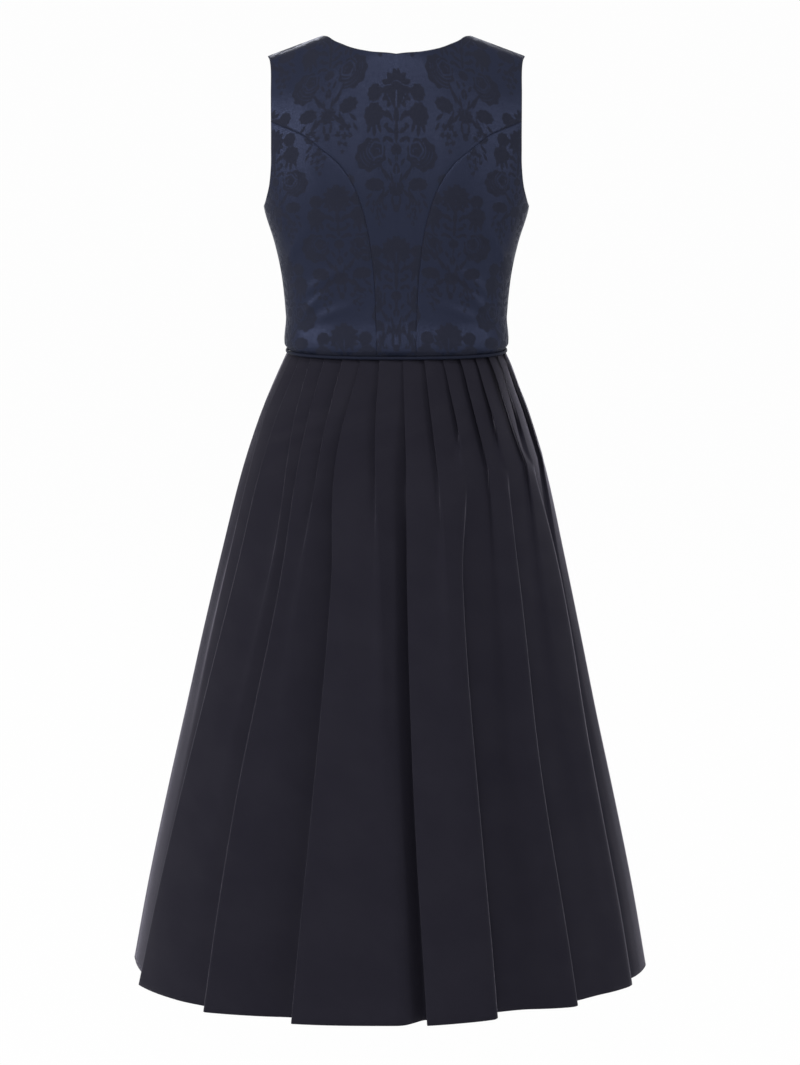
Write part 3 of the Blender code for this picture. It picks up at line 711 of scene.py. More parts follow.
SEAM_DIP, SEAM_ROLL = 0.0008, 0.0010
EDGE_DIP, EDGE_ROLL = 0.0010, 0.0011
PANEL_PITCH_UP, PANEL_PITCH_ACROSS = 0.0019, 0.0015
EDGE_LINES = (0.0, 0.0004, 0.0009, 0.0016, 0.0026, 0.0042)
CENTRE_SIZE, SIDE_SIZE = (0.150, 0.370), (0.120, 0.290)  # a panel, roughly, across and up
SEAM_SHARE = 9 / 13  # how much of a centre panel's side edge is seam
BACK_NECK_SHARE, FRONT_NECK_SHARE = 5 / 9, 0.7  # how much of its top edge is neckline
SEAM_FADE, NECK_FADE = 0.01, 0.02  # shares over which a seam gives way to a finished edge
TAPE_END, TAPE_LEVELS = 190.0, 79  # the tape's table: past centre front, and its levels

# Where each panel's cloth is laid on the damask: the cut's shift across and down, and its tilt
# against the centre line, in degrees
Lay = namedtuple("Lay", "across down tilt")
LAYS = {
    "back_centre": Lay(0.000, 0.188, 0),
    "back_side": Lay(0.012, 0.205, 3),
    "front_side": Lay(0.020, 0.190, -4),
    "front_centre": Lay(0.000, 0.215, 0),
}


def edged(length, pitch):
    """Shares from 0 to 1 at an even pitch, with closer lines at both ends."""
    near = np.array(EDGE_LINES) / length
    inner = near[-1] + near[1]
    middle = np.linspace(inner, 1 - inner, int(length / pitch))
    return np.concatenate([near, middle, 1 - near[::-1]])


@lru_cache(maxsize=None)
def tape_table():
    """Tape distance round the body form from centre back, by turn and distance down."""
    turns, downs = np.arange(0, TAPE_END), np.linspace(0, WAIST_DOWN, TAPE_LEVELS)
    points = body_point(turns[:, None], downs[None, :])
    return turns, downs, run_lengths(points, axis=0)


def tape_round(turn, down):
    """Tape distance round the form at any marks, read from the table."""
    turns, downs, lengths = tape_table()
    i = np.clip(turn.astype(int), 0, len(turns) - 2)
    step = downs[1]
    j = np.clip((down / step).astype(int), 0, len(downs) - 2)
    a, b = turn - i, down / step - j
    return ((lengths[i, j] * (1 - a) + lengths[i + 1, j] * a) * (1 - b)
            + (lengths[i, j + 1] * (1 - a) + lengths[i + 1, j + 1] * a) * b)


def cut_coordinates(marks, lay, from_front):
    """Where each mark lies on the flat cloth: across from the centre line, and up, in metres."""
    turn, down = marks[..., 0], np.clip(marks[..., 1], 0, WAIST_DOWN)
    across = tape_round(turn, down)
    if from_front:
        across = tape_round(np.full_like(turn, 180.0), down) - across
    across, up = across + lay.across, lay.down - marks[..., 1]
    tilt = math.radians(lay.tilt)
    return np.stack([across * math.cos(tilt) - up * math.sin(tilt),
                     across * math.sin(tilt) + up * math.cos(tilt)], axis=-1)


def roll_edges(points, seams, skip=None):
    """Dip a panel's four edges: deep and soft at a seam, short and round at a finished edge.

    Seams holds, for left, right, bottom and top, how much of a seam the edge is along its length.
    """
    normal = grid_normals(points)
    along_row, along_column = run_lengths(points, 1), run_lengths(points, 0)
    gaps = {"left": along_row, "right": along_row[:, -1:] - along_row,
            "bottom": along_column, "top": along_column[-1:] - along_column}
    dip = np.zeros(points.shape[:2])
    for side, gap in gaps.items():
        if side == skip:
            continue
        seam = seams[side][:, None] if side in ("left", "right") else seams[side][None, :]
        at_seam = SEAM_DIP * np.exp(-gap / SEAM_ROLL)
        at_edge = EDGE_DIP * np.exp(-(gap / EDGE_ROLL) ** 2)
        dip = np.maximum(dip, seam * at_seam + (1 - seam) * at_edge)
    return points - normal * dip[..., None]


def centre_marks(neckline, shoulder, seam, armhole, levels, centre_turn, neck_share, fade):
    """A centre panel from its centre line, whose rows start at the given levels, outward."""
    shoulder, seam, armhole = map(settled, (shoulder, seam, armhole))
    columns = edged(CENTRE_SIZE[0], PANEL_PITCH_ACROSS)
    rows = edged(CENTRE_SIZE[1], PANEL_PITCH_UP)
    centre = [Mark(centre_turn, down) for down in levels]
    top = Mark(centre_turn, neckline[0].down)
    marks = pattern_marks(
        bottom=straight(centre[0], seam[0]),
        top=joined([top] + neckline[1:], shoulder, neck_share),
        left=joined(centre, [centre[-1], top], SEAM_SHARE),
        right=joined(seam, armhole[::-1], SEAM_SHARE), columns=columns, rows=rows, fade=fade)
    seams = {"left": np.zeros(len(rows)), "bottom": np.ones(len(columns)),
             "right": 1 - smooth_step(rows, SEAM_SHARE - SEAM_FADE, SEAM_SHARE),
             "top": smooth_step(columns, neck_share, neck_share + NECK_FADE)}
    return marks, seams


def side_marks(seam, armhole):
    """A side panel between its curved seam and the side seam, up to the armhole."""
    seam, armhole, side = map(settled, (seam, armhole, SIDE_SEAM))
    columns, rows = edged(SIDE_SIZE[0], PANEL_PITCH_ACROSS), edged(SIDE_SIZE[1], PANEL_PITCH_UP)
    marks = pattern_marks(
        bottom=straight(seam[0], side[0]), top=lambda t: along(armhole, t),
        left=lambda t: along(seam, t), right=lambda t: along(side, t),
        columns=columns, rows=rows)
    seams = {"left": np.ones(len(rows)), "right": np.ones(len(rows)),
             "bottom": np.ones(len(columns)), "top": np.zeros(len(columns))}
    return marks, seams


def flipped(marks, seams):
    """The same panel with its columns run the other way."""
    return marks[:, ::-1], {"left": seams["right"], "right": seams["left"],
                            "bottom": seams["bottom"][::-1], "top": seams["top"][::-1]}


PUFF_START, PUFF_FULL, PUFF_END = 0.347, 0.377, 0.380  # where the cloth swells above the waist
DEGREE_ACROSS = 0.0021  # the cloth across one degree of turn at the drag ridges

# Soft ridges where the cloth drags toward the waist at the sides of the back: the middle's turn
# and distance down, the lean against level, and the half length, half width and height
Drag = namedtuple("Drag", "turn down lean long wide rise")
DRAGS = [Drag(35, 0.300, 28, 0.034, 0.0065, 0.0016), Drag(43, 0.328, 33, 0.030, 0.0060, 0.0015),
         Drag(28, 0.336, 20, 0.026, 0.0055, 0.0014), Drag(52, 0.262, 40, 0.036, 0.0080, 0.0014)]


def swell(marks):
    """How far the cloth stands out from the form: the puff above the waist and the drag ridges."""
    turn, down = marks[..., 0], marks[..., 1]
    height = (measure("puff") * smooth_step(down, PUFF_START, PUFF_FULL)
              * (1 - smooth_step(down, PUFF_END, SEAM_FOOT)))
    for drag in DRAGS:
        out, up = (turn - drag.turn) * DEGREE_ACROSS, drag.down - down
        lean = math.radians(-drag.lean)
        along_it = out * math.cos(lean) + up * math.sin(lean)
        off_it = up * math.cos(lean) - out * math.sin(lean)
        height = height + drag.rise * np.exp(-(along_it / drag.long) ** 2
                                             - (off_it / drag.wide) ** 2)
    return height


def add_panel(name, marks, seams, lay, from_front=False, right=False, lifted=False, mirror=False):
    """One panel's shell from its marks, whole by mirroring, or turned over for the right side."""
    points = body_point(marks[..., 0], marks[..., 1])
    if lifted:
        points = points + grid_normals(points) * lap_lift(marks[..., 0])[..., None]
    points = points + grid_normals(points) * swell(marks)[..., None]
    points = roll_edges(points, seams, skip="left" if mirror else None)
    cut = cut_coordinates(marks, lay, from_front)
    if mirror:
        points = np.concatenate([(points * [-1, 1, 1])[:, :0:-1], points], axis=1)
        cut = np.concatenate([(cut * [-1, 1])[:, :0:-1], cut], axis=1)
    elif right:
        points, cut = (points * [-1, 1, 1])[:, ::-1], (cut * [-1, 1])[:, ::-1]
    mesh = mesh_from_grid(name, points, cut, figure=damask_depth(cut))
    piece = add_piece(name + "_shell", mesh, [damask, lining], name)
    thicken(piece, measure("cloth"))
    width, length = float(np.ptp(cut[..., 0])), float(np.ptp(cut[..., 1]))
    min(piece_area(points), width * length)


def piece_area(points):
    """The area of a grid's cells, each as two triangles."""
    a = np.cross(points[1:, :-1] - points[:-1, :-1], points[:-1, 1:] - points[:-1, :-1])
    b = np.cross(points[1:, :-1] - points[1:, 1:], points[:-1, 1:] - points[1:, 1:])
    return float((np.linalg.norm(a, axis=-1) + np.linalg.norm(b, axis=-1)).sum() / 2)


# ---------------------------------------------------------------- skirt

SKIRT_ROWS = 110
CORNER_SAMPLES = (0.5, 0.7, 0.85, 1.0)
PANEL_SAMPLES, RETURN_SAMPLES = 9, 2
# How much flatter the pleats lie at the right hip, round its turn and for how many degrees
SIDE_CALM, SIDE_TURN, SIDE_SPREAD = 0.85, -93, 19.0
# From where to where down the skirt a fold takes on its own gap and stand, and its own depth
HIP, SHALLOWS = (0.47, 0.60), (0.80, 1.10)
LEVEL_STEP = 0.003  # a smaller step lies partly on each side of its line
CORNER_LIMIT = 0.45  # how much of a run one rounded corner may take
# How far a fold is rounded, at the waist and the hem
OUTER_REACH = (0.0020, 0.0060)
INNER_REACH = (0.0022, 0.0260)


def skirt_ring(turn, height, inset):
    """Points set in from the skirt's smooth outer form."""
    angle = np.radians(turn)
    depth = np.where(np.cos(angle) >= 0, read(SKIRT_RINGS, "back", height),
                     read(SKIRT_RINGS, "front", height))
    half_width = read(SKIRT_RINGS, "half_width", height)
    x = half_width * signed_power(np.sin(angle), 2 / SKIRT_SQUARE)
    y = depth * signed_power(np.cos(angle), 2 / SKIRT_SQUARE)
    reach = np.sqrt(x * x + y * y)
    shrink = (reach - inset) / reach
    fall = (height - SKIRT_TOP) / (HEM_HEIGHT - SKIRT_TOP)
    rise = fall**2 * read(HANGS, "rise", (turn + 180) % 360 - 180)
    return np.stack([x * shrink + read(SKIRT_RINGS, "sway", height), y * shrink, height + rise],
                    axis=-1)


def skirt_knots(heights):
    """The folds' outer and inner edges at each height: turns, insets, by rising turn."""
    radius = (read(SKIRT_RINGS, "half_width", heights) + read(SKIRT_RINGS, "back", heights)) / 2
    to_turn = np.degrees(1 / radius)
    drops = {key: read(DROPS, key, heights) for key in Drop._fields[1:]}
    places = np.array(FOLD_HEIGHTS[::-1])
    outer, inner = [], []
    low, under_hip = smooth_step(-heights, *SHALLOWS), smooth_step(-heights, *HIP)
    for fold in FOLDS:
        line = smooth_through(places, np.array(fold[:5][::-1], dtype=float), heights)
        step = drops[fold.way + "_step"] * (1 - low * (1 - fold.depth))
        at_side = np.exp(-(((line - SIDE_TURN + 180) % 360 - 180) / SIDE_SPREAD) ** 2)
        step = step * (1 - SIDE_CALM * at_side * (1 - under_hip))
        lap = (drops[fold.way + "_lap"] - fold.gap * under_hip) * to_turn
        under = smooth_step(step, -LEVEL_STEP, LEVEL_STEP)
        outer.append([line + (1 - under) * lap, np.maximum(-step, 0)])
        inner.append([line - under * lap, np.maximum(step, 0)])
    count = len(FOLDS)
    for k, fold in enumerate(FOLDS):
        if fold.way != "fade":
            continue
        (start_turn, start_in), (end_turn, end_in) = inner[k - 1], outer[(k + 1) % count]
        step = drops["fade_step"]
        for knot, side in ((outer[k], -0.5), (inner[k], 0.5)):
            share = np.clip((knot[0] - start_turn) / (end_turn - start_turn), 0, 1)
            slope = start_in + (end_in - start_in) * share
            knot[1] = slope * (1 - fold.proud * under_hip) + side * step
    knots = [pair[k] for k in range(count) for pair in (outer, inner)]
    return np.array([k[0] for k in knots]).T, np.array([k[1] for k in knots]).T, radius


def corner_point(before, at, after, step_in, step_out, reach, t):
    """A point at a share t round a corner that is cut off at a reach from its knot."""
    cut_in, cut_out = (np.minimum(reach / np.maximum(step, 1e-6), CORNER_LIMIT)[:, None]
                       for step in (step_in, step_out))
    start, end = at + (before - at) * cut_in, at + (after - at) * cut_out
    return (1 - t) ** 2 * start + 2 * t * (1 - t) * at + t * t * end


def rounded_path(knots, reaches, counts):
    """Follow a line of knots with its corners rounded. Knots are (rows, knots, 2), and there is
    one reach for each knot."""
    stations = []
    steps = np.linalg.norm(np.diff(knots, axis=1), axis=-1)
    for i in range(1, knots.shape[1] - 3):
        here, after = knots[:, i], knots[:, i + 1]
        before, beyond = knots[:, i - 1], knots[:, i + 2]
        leave = [corner_point(before, here, after, steps[:, i - 1], steps[:, i], reaches[i], t)
                 for t in CORNER_SAMPLES]
        arrive = [corner_point(here, after, beyond, steps[:, i], steps[:, i + 1],
                               reaches[i + 1], 1 - t) for t in CORNER_SAMPLES[::-1]]
        run = counts[i % 2]
        middle = [leave[-1] + (arrive[0] - leave[-1]) * j / (run + 1) for j in range(1, run + 1)]
        stations += leave + middle + arrive[:-1]
    return np.stack(stations, axis=1)


def skirt_grid():
    """Points all round the skirt, hem first, from the inner edge of the last fold."""
    heights = np.linspace(HEM_HEIGHT, SKIRT_TOP, SKIRT_ROWS + 1)
    turns, insets, radius = skirt_knots(heights)
    scale = np.radians(radius)[:, None]
    turns = np.concatenate([turns[:, -2:] - 360, turns, turns[:, :2] + 360], axis=1)
    insets = np.concatenate([insets[:, -2:], insets, insets[:, :2]], axis=1)
    fall = (heights - SKIRT_TOP) / (HEM_HEIGHT - SKIRT_TOP)
    outer = OUTER_REACH[0] + (OUTER_REACH[1] - OUTER_REACH[0]) * fall
    inner = INNER_REACH[0] + (INNER_REACH[1] - INNER_REACH[0]) * fall
    reaches = [reach for fold in FOLDS for reach in (outer * fold.crisp, inner)]
    reaches = reaches[-2:] + reaches + reaches[:2]
    path = rounded_path(np.stack([turns * scale, insets], axis=-1), reaches,
                        [RETURN_SAMPLES, PANEL_SAMPLES])
    return skirt_ring(path[..., 0] / scale, heights[:, None], path[..., 1])


def fold_column(index):
    """The column where a fold's inner edge lies, in the grid of the whole skirt."""
    corners = 2 * len(CORNER_SAMPLES) - 1
    back, panel = corners + RETURN_SAMPLES, corners + PANEL_SAMPLES
    return panel + index * (back + panel) + back


HEM_TURN_ROWS = 4
SIDE_FOLD = 16  # the fold whose inner edge hides the left side seam


def with_turned_hem(points):
    """Carry the sheet on round its lower edge and up the inside, as a turned hem."""
    normal, layer = grid_normals(points), measure("hem_layer")
    inside = (points - normal * layer)[HEM_TURN_ROWS:0:-1]
    edge = points[:1] - normal[:1] * layer / 2 - [0, 0, layer / 3]
    return np.concatenate([inside, edge, points], axis=0)


def add_skirt():
    """The skirt's two widths, cut from the one pleated sheet at the hidden side seams."""
    points = with_turned_hem(skirt_grid())
    whole = points.shape[1]
    first, middle = fold_column(0), fold_column(SIDE_FOLD)
    columns = {"skirt_back": np.arange(first, middle + 1),
               "skirt_front": np.concatenate([np.arange(middle, whole), np.arange(0, first + 1)])}
    for name, picked in columns.items():
        sheet = points[:, picked]
        cut = np.stack([run_lengths(sheet, 1), run_lengths(sheet, 0)], axis=-1)
        piece = add_piece(name + "_cloth", mesh_from_grid(name, sheet, cut), [skirt_twill],
                          name)


# ---------------------------------------------------------------- piping, buttons, buttonholes

CORD_OUT = 0.0008  # the cord's middle lies this far outside the form
CORD_END_GAP = 0.3  # degrees from each end of the cord to the edge of the lap
CORD_POINTS = 280
WAIST_HALVES = (0.1288, 0.091)  # half the form's width and depth at the waist


def new_cord(name, radius, rounds):
    """A curve whose runs are round cords of one radius."""
    curve = bpy.data.curves.new(name, "CURVE")
    curve.dimensions = "3D"
    curve.bevel_depth = radius
    curve.bevel_resolution = rounds
    return curve


def add_run(curve, points, closed=False):
    """One run of cord through points."""
    spline = curve.splines.new("POLY")
    spline.points.add(len(points) - 1)
    spline.use_cyclic_u = closed
    for point, place in zip(spline.points, points):
        point.co = (*place, 1.0)


def add_piping():
    """The covered cord round the waist seam, from one edge of the lap to the other."""
    curve = new_cord("waist_piping", measure("cord_radius"), rounds=4)
    curve.use_fill_caps = True
    start = 360 - past_centre(LAP_OVER) + CORD_END_GAP
    turn = np.linspace(start, start + 360 - 2 * CORD_END_GAP, CORD_POINTS)
    points = body_point(turn, WAIST_DOWN)
    outward = np.stack([points[:, 0] / WAIST_HALVES[0]**2, points[:, 1] / WAIST_HALVES[1]**2,
                        0 * turn], axis=-1)
    outward /= np.linalg.norm(outward, axis=-1, keepdims=True)
    points = points + outward * (lap_lift(360 - turn) + CORD_OUT)[:, None]
    points[:, 2] = WAIST_HEIGHT
    add_run(curve, points)
    add_piece("waist_piping_cord", curve, [satin], "waist_piping")


# How far each button's foot stands out from its base on the form, from the neckline down
BUTTON_STANDS = (0.00018, 0.00087, 0.00128, 0.00105, 0.00066, 0.00045, 0.00055, 0.00033)
BUTTON_BASE = 0.0008  # half of the faceted panel's thickness
# The first button lies 12 mm under the neckline and the last 16 mm above the waist seam
BUTTON_TOP, BUTTON_FOOT = FRONT_NECKLINE[0].down + 0.012, WAIST_DOWN - 0.016
# The outline of a covered button: share of the radius, share of the height
BUTTON_OUTLINE = ((0.00, 0.02), (0.62, 0.02), (0.80, 0.06), (0.93, 0.16), (1.00, 0.32),
                  (0.985, 0.46), (0.92, 0.62), (0.80, 0.76), (0.62, 0.88), (0.40, 0.96),
                  (0.20, 0.99), (0.00, 1.00))
BUTTON_SEGMENTS = 40
WELD_REACH = 1e-6
SLOPE_SPAN = 0.002  # the front's slope is taken this far up and down


def button_downs():
    """How far down centre front each button and its buttonhole lie."""
    return np.linspace(BUTTON_TOP, BUTTON_FOOT, len(BUTTON_STANDS))


def front_direction(down):
    """Straight out from the cloth at centre front."""
    ahead = body_point(180, down - SLOPE_SPAN) - body_point(180, down + SLOPE_SPAN)
    return Vector((0, -ahead[2], ahead[1])).normalized()


def add_buttons():
    """Domed buttons, turned from one outline, on the right front."""
    radius, height = measure("button_radius"), measure("button_height")
    angles = np.linspace(0, 2 * math.pi, BUTTON_SEGMENTS, endpoint=False)
    index = np.arange(len(BUTTON_OUTLINE) * BUTTON_SEGMENTS).reshape(-1, BUTTON_SEGMENTS)
    faces = grid_quads(np.column_stack([index, index[:, 0]]).T)
    for number, (down, stand) in enumerate(zip(button_downs(), BUTTON_STANDS), start=1):
        outward = front_direction(down)
        place = Vector(body_point(180, down)) + outward * (LAP_LIFT + BUTTON_BASE + stand)
        turned = outward.to_track_quat("Z", "Y").to_matrix()
        verts = [place + turned @ Vector((radius * r * math.cos(a), radius * r * math.sin(a),
                                          height * h))
                 for r, h in BUTTON_OUTLINE for a in angles]
        mesh = bpy.data.meshes.new("covered_button")
        mesh.from_pydata(verts, [], faces)
        weld(mesh)
        mesh.shade_smooth()
        name = "button_%d" % number
        add_piece("covered_" + name, mesh, [satin], name)


def weld(mesh):
    """Join points that lie in one place, as at a button's two poles."""
    work = bmesh.new()
    work.from_mesh(mesh)
    bmesh.ops.remove_doubles(work, verts=work.verts, dist=WELD_REACH)
    work.to_mesh(mesh)
    work.free()


HOLE_SAMPLES = 40
HOLE_PAST = 0.003  # how far a hole's inner end lies past the button's middle
END_SQUARE, SIDE_FULL = 0.5, 0.7  # how full a hole's ends and its long sides are
THREAD_OUT = 0.4  # how much of its thickness a thread stands out of the cloth


def add_buttonholes():
    """Worked buttonholes on the right front: a round of thread from each button outward."""
    length, width, radius = map(measure, ("hole_length", "hole_width", "thread_radius"))
    curve = new_cord("buttonholes", radius, rounds=3)
    for down in button_downs():
        outward = front_direction(down) * (LAP_LIFT + radius * THREAD_OUT)
        points = []
        for angle in np.linspace(0, 2 * math.pi, HOLE_SAMPLES, endpoint=False):
            across = (-length / 2 + HOLE_PAST
                      + length / 2 * signed_power(math.cos(angle), END_SQUARE))
            level = width * signed_power(math.sin(angle), SIDE_FULL)
            turn = 180 - math.copysign(past_centre(abs(across)) - 180, -across)
            base = body_point(turn, down - level)
            points.append(Vector((-base[0], base[1], base[2])) + outward)
        add_run(curve, points, closed=True)
    add_piece("buttonhole_stitching", curve, [thread])


# ---------------------------------------------------------------- stage, lamps and camera

FLOOR_HEIGHT = -1.45
FLOOR_REACH, FLOOR_SQUARES = 150.0, 8
FLOOR_GLOW = 0.98  # how much of the floor that the camera sees is its own white
WHITE = (1, 1, 1, 1)
CAMERA_PLACE = (-0.0042, 4.10, 0.10)
CAMERA_PITCH = 9.56  # degrees down from level
CAMERA_LENS, SENSOR_HEIGHT = 117.2, 36.0  # millimetres
CAMERA_SIGHT = 400  # as far as the floor's corners

# Each lamp's place, what it points at, its width and height, and the setting with its power
Lamp = namedtuple("Lamp", "place aim size power")
LAMPS = {
    "high_lamp": Lamp((0.3, 4.2, 1.45), (0, 0, -0.4), (1.1, 0.6), "key_power"),
    "left_lamp": Lamp((3.8, 1.5, 0.7), (0, 0, -0.5), (1.2, 1.8), "left_power"),
    "right_lamp": Lamp((-3.6, 1.9, 0.8), (0, 0, -0.5), (1.2, 1.8), "right_power"),
    "top_lamp": Lamp((0.2, 1.9, 3.0), (0, 0, -0.2), (1.6, 1.0), "top_power"),
    "far_lamp": Lamp((0.3, -4.2, 1.6), (0, 0, -0.4), (1.6, 1.0), "fill_power"),
}


def lit_only(wires, plain, shown):
    """Mix a plain shader with one that the camera and mirrors see."""
    path = wires.add("ShaderNodeLightPath").outputs
    seen = wires.math("MAXIMUM", path["Is Camera Ray"],
                      wires.math("MAXIMUM", path["Is Glossy Ray"],
                                 path["Is Transmission Ray"]))
    return wires.fill(wires.add("ShaderNodeMixShader"), seen, plain, shown)


def add_world(strength):
    """A dim white surround for light, and a bright one for the camera and mirrors."""
    world = bpy.data.worlds.new("pale_studio")
    bpy.context.scene.world = world
    world.use_nodes = True
    wires, nodes = Wiring(world.node_tree), world.node_tree.nodes
    dim, = wires.set(nodes["Background"], Color=WHITE, Strength=strength)
    bright, = wires.set(wires.add("ShaderNodeBackground"), Color=WHITE, Strength=1.0)
    wires.set(nodes["World Output"], Surface=lit_only(wires, dim, bright))


def add_floor():
    """A pale floor that keeps the dress's shadow and meets the surround in white."""
    mesh = bpy.data.meshes.new("floor")
    line = np.linspace(-FLOOR_REACH, FLOOR_REACH, FLOOR_SQUARES + 1)
    verts = [(x, y, FLOOR_HEIGHT) for y in line for x in line]
    mesh.from_pydata(verts, [], grid_quads(np.arange(len(verts)).reshape(len(line), -1).T))
    made, wires, shader = new_material("studio_floor_paint")
    paint, = wires.set(shader, Base_Color=(0.95, 0.95, 0.95, 1), Roughness=0.9,
                       Specular_IOR_Level=0.1)
    glow, = wires.set(wires.add("ShaderNodeEmission"), Strength=1.0)
    half = wires.fill(wires.add("ShaderNodeMixShader"), FLOOR_GLOW, paint, glow)
    wires.set(made.node_tree.nodes["Material Output"], Surface=lit_only(wires, paint, half))
    mesh.materials.append(made)
    add_object("studio_floor", mesh)


def add_lamp(name, lamp, power):
    """A soft rectangular lamp that points at its aim."""
    light = bpy.data.lights.new(name, "AREA")
    light.shape = "RECTANGLE"
    light.size, light.size_y = lamp.size
    light.energy = power
    made = add_object(name, light)
    made.location = lamp.place
    outward = Vector(lamp.place) - Vector(lamp.aim)
    made.rotation_euler = outward.to_track_quat("Z", "Y").to_euler()


def add_camera():
    """The camera behind the wearer, at the height of their neck and pitched down."""
    lens = bpy.data.cameras.new("view")
    lens.sensor_fit = "VERTICAL"
    lens.sensor_height = SENSOR_HEIGHT
    lens.lens = CAMERA_LENS
    lens.clip_end = CAMERA_SIGHT
    camera = add_object("view", lens)
    camera.location = CAMERA_PLACE
    camera.rotation_euler = (math.radians(90 - CAMERA_PITCH), 0, math.pi)
    bpy.context.scene.camera = camera


# ---------------------------------------------------------------- settings, operators, panel


def length_setting(label, what, metres):
    return bpy.props.FloatProperty(name=label, description=what, default=metres, min=0, max=0.1,
                                   precision=5, unit="LENGTH")


def colour_setting(label, what, colour):
    return bpy.props.FloatVectorProperty(name=label, description=what, default=colour, min=0,
                                         max=1, subtype="COLOR")


def share_setting(label, what, share):
    return bpy.props.FloatProperty(name=label, description=what, default=share, min=0, max=1,
                                   subtype="FACTOR")


def power_setting(label, what, watts):
    return bpy.props.FloatProperty(name=label, description=what, default=watts, min=0, max=2000,
                                   unit="POWER")


class DirndlSizes(bpy.types.PropertyGroup):
    cloth: length_setting("Bodice cloth", "Thickness of the bodice's lined cloth", 0.0011)
    puff: length_setting("Puff", "How far the cloth swells just above the waist seam", 0.0036)
    hem_layer: length_setting("Hem layer", "Gap to the cloth turned up inside the hem", 0.0014)
    cord_radius: length_setting("Cord radius", "Half the thickness of the waist piping", 0.0020)
    button_radius: length_setting("Button radius", "Half a covered button's width", 0.0060)
    button_height: length_setting("Button height", "How high a covered button domes", 0.0038)
    hole_length: length_setting("Buttonhole length", "From end to end of the stitching", 0.0150)
    hole_width: length_setting("Buttonhole width", "Half the width of the stitching", 0.0018)
    thread_radius: length_setting("Thread radius", "Half the thread's thickness", 0.00045)


class DirndlCloth(bpy.types.PropertyGroup):
    ground_colour: colour_setting("Ground", "Colour of the satin ground",
                                  (0.0230, 0.0272, 0.0492))
    ground_deep: colour_setting("Ground, deep", "The ground where the dye is deeper",
                                (0.0208, 0.0248, 0.0450))
    figure_colour: colour_setting("Figure", "Colour of the dull woven figure",
                                  (0.0221, 0.0241, 0.0385))
    figure_deep: colour_setting("Figure, deep", "The figure where the dye is deeper",
                                (0.0199, 0.0218, 0.0349))
    lining_colour: colour_setting("Lining", "Colour of the lining", (0.020, 0.022, 0.036))
    skirt_colour: colour_setting("Skirt", "Colour of the skirt's twill",
                                 (0.0141, 0.0131, 0.0211))
    skirt_deep: colour_setting("Skirt, deep", "The skirt where the dye is deeper",
                               (0.0122, 0.0114, 0.0184))
    ground_roughness: share_setting("Ground roughness", "How soft the satin's gloss is", 0.32)
    figure_roughness: share_setting("Figure roughness", "How soft the figure's gloss is", 0.70)
    ground_sheen: share_setting("Ground lustre",
                                "How much the satin's gloss takes the dye's colour", 0.50)


class DirndlLight(bpy.types.PropertyGroup):
    world_strength: bpy.props.FloatProperty(
        name="Surround", description="Light from all round", default=0.24, min=0, max=5)
    key_power: power_setting("Main lamp", "Power of the high lamp behind the camera", 42.0)
    top_power: power_setting("Top lamp", "Power of the lamp above the shoulders", 36.0)
    left_power: power_setting("Left lamp", "Power of the lamp on the wearer's left", 76.0)
    right_power: power_setting("Right lamp", "Power of the lamp on the wearer's right", 42.0)
    fill_power: power_setting("Far lamp", "Power of the lamp on the other side", 40.0)


SETTINGS = {"dirndl_sizes": DirndlSizes, "dirndl_cloth": DirndlCloth,
            "dirndl_light": DirndlLight}


UNDOABLE = {"REGISTER", "UNDO"}
SIDES = {"left": False, "right": True}  # which side's panels are turned over


class DIRNDL_OT_bodice(bpy.types.Operator):
    """Build the bodice's seven panels as lined shells"""
    bl_idname = "dirndl.bodice"
    bl_label = "Bodice"
    bl_options = UNDOABLE

    def execute(self, context):
        marks, seams = centre_marks(BACK_NECKLINE, BACK_SHOULDER, BACK_SEAM, BACK_ARMHOLE_UPPER,
                                    BACK_LEVELS, 0, BACK_NECK_SHARE, fade=2)
        add_panel("back_centre", marks, seams, LAYS["back_centre"], mirror=True)
        marks, seams = side_marks(BACK_SEAM, BACK_ARMHOLE_LOWER)
        for side, right in SIDES.items():
            add_panel("back_side_" + side, marks, seams, LAYS["back_side"], right=right)
        marks, seams = flipped(*side_marks(FRONT_SEAM, FRONT_ARMHOLE_LOWER))
        for side, right in SIDES.items():
            add_panel("front_side_" + side, marks, seams, LAYS["front_side"], from_front=True,
                      right=right)
        for side, right in SIDES.items():
            edge = past_centre(LAP_OVER if right else LAP_UNDER)
            marks, seams = flipped(*centre_marks(
                settled(FRONT_NECKLINE), FRONT_SHOULDER, FRONT_SEAM, FRONT_ARMHOLE_UPPER,
                FRONT_LEVELS, edge, FRONT_NECK_SHARE, fade=3))
            add_panel("front_centre_" + side, marks, seams, LAYS["front_centre"],
                      from_front=True, right=right, lifted=right)
        return {"FINISHED"}


class DIRNDL_OT_piping(bpy.types.Operator):
    """Build the covered cord in the waist seam"""
    bl_idname = "dirndl.piping"
    bl_label = "Waist piping"
    bl_options = UNDOABLE

    def execute(self, context):
        add_piping()
        return {"FINISHED"}


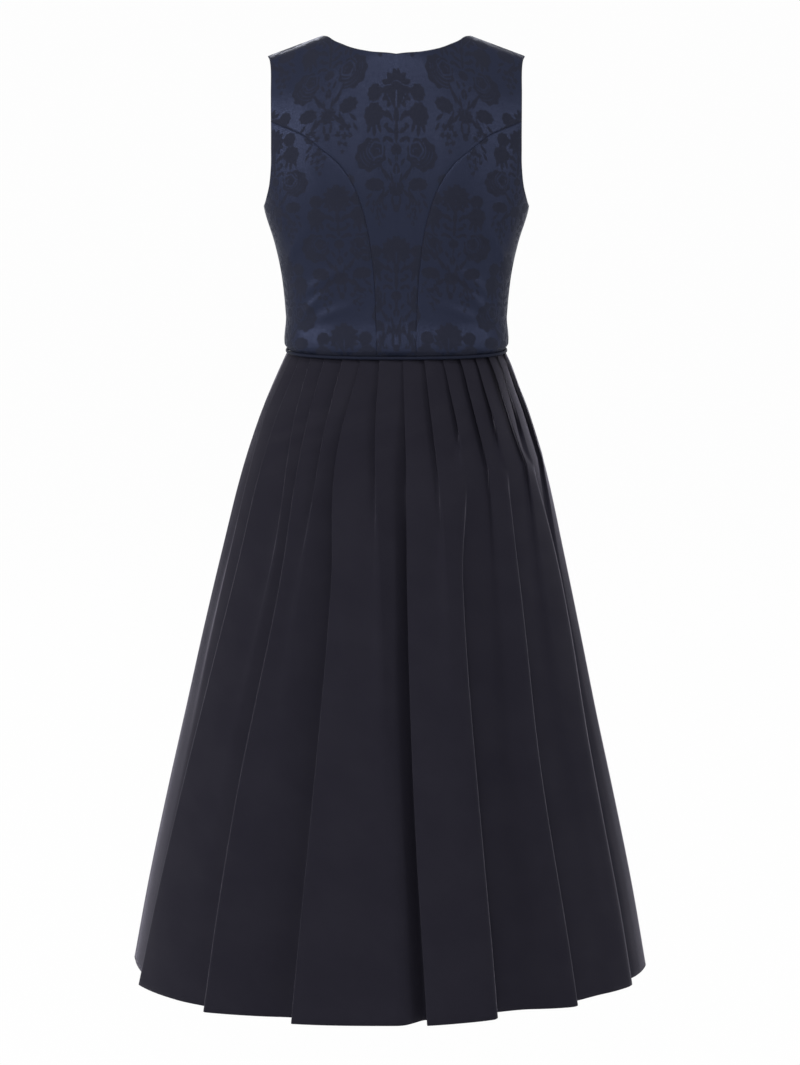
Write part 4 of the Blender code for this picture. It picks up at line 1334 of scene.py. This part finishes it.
class DIRNDL_OT_skirt(bpy.types.Operator):
    """Build the pleated skirt's two widths"""
    bl_idname = "dirndl.skirt"
    bl_label = "Skirt"
    bl_options = UNDOABLE

    def execute(self, context):
        add_skirt()
        return {"FINISHED"}


class DIRNDL_OT_closing(bpy.types.Operator):
    """Build the covered buttons and their worked buttonholes"""
    bl_idname = "dirndl.closing"
    bl_label = "Buttons"
    bl_options = UNDOABLE

    def execute(self, context):
        add_buttons()
        add_buttonholes()
        return {"FINISHED"}


class DIRNDL_OT_stage(bpy.types.Operator):
    """Build the floor, lamps, surround and camera"""
    bl_idname = "dirndl.stage"
    bl_label = "Stage"
    bl_options = UNDOABLE

    def execute(self, context):
        light = context.scene.dirndl_light
        context.scene.view_settings.view_transform = "Standard"
        add_world(light.world_strength)
        add_floor()
        for name, lamp in LAMPS.items():
            add_lamp(name, lamp, getattr(light, lamp.power))
        add_camera()
        return {"FINISHED"}


class DIRNDL_PT_panel(bpy.types.Panel):
    """Settings and pieces of the dirndl"""
    bl_label = "Dirndl"
    bl_space_type = "VIEW_3D"
    bl_region_type = "UI"
    bl_category = "Dirndl"

    def draw(self, context):
        for pointer, group in SETTINGS.items():
            for name in group.__annotations__:
                self.layout.prop(getattr(context.scene, pointer), name)
        for operator in OPERATORS:
            self.layout.operator(operator.bl_idname)


OPERATORS = (DIRNDL_OT_piping, DIRNDL_OT_bodice, DIRNDL_OT_skirt, DIRNDL_OT_closing,
             DIRNDL_OT_stage)
CLASSES = (*SETTINGS.values(), *OPERATORS, DIRNDL_PT_panel)


def register():
    for one in CLASSES:
        bpy.utils.register_class(one)
    for pointer, group in SETTINGS.items():
        setattr(bpy.types.Scene, pointer, bpy.props.PointerProperty(type=group))


def unregister():
    for pointer in SETTINGS:
        delattr(bpy.types.Scene, pointer)
    for one in reversed(CLASSES):
        bpy.utils.unregister_class(one)


def main():
    register()
    bpy.ops.dirndl.piping()
    bpy.ops.dirndl.bodice()
    bpy.ops.dirndl.skirt()
    bpy.ops.dirndl.closing()
    bpy.ops.dirndl.stage()


if __name__ == "__main__":
    main()
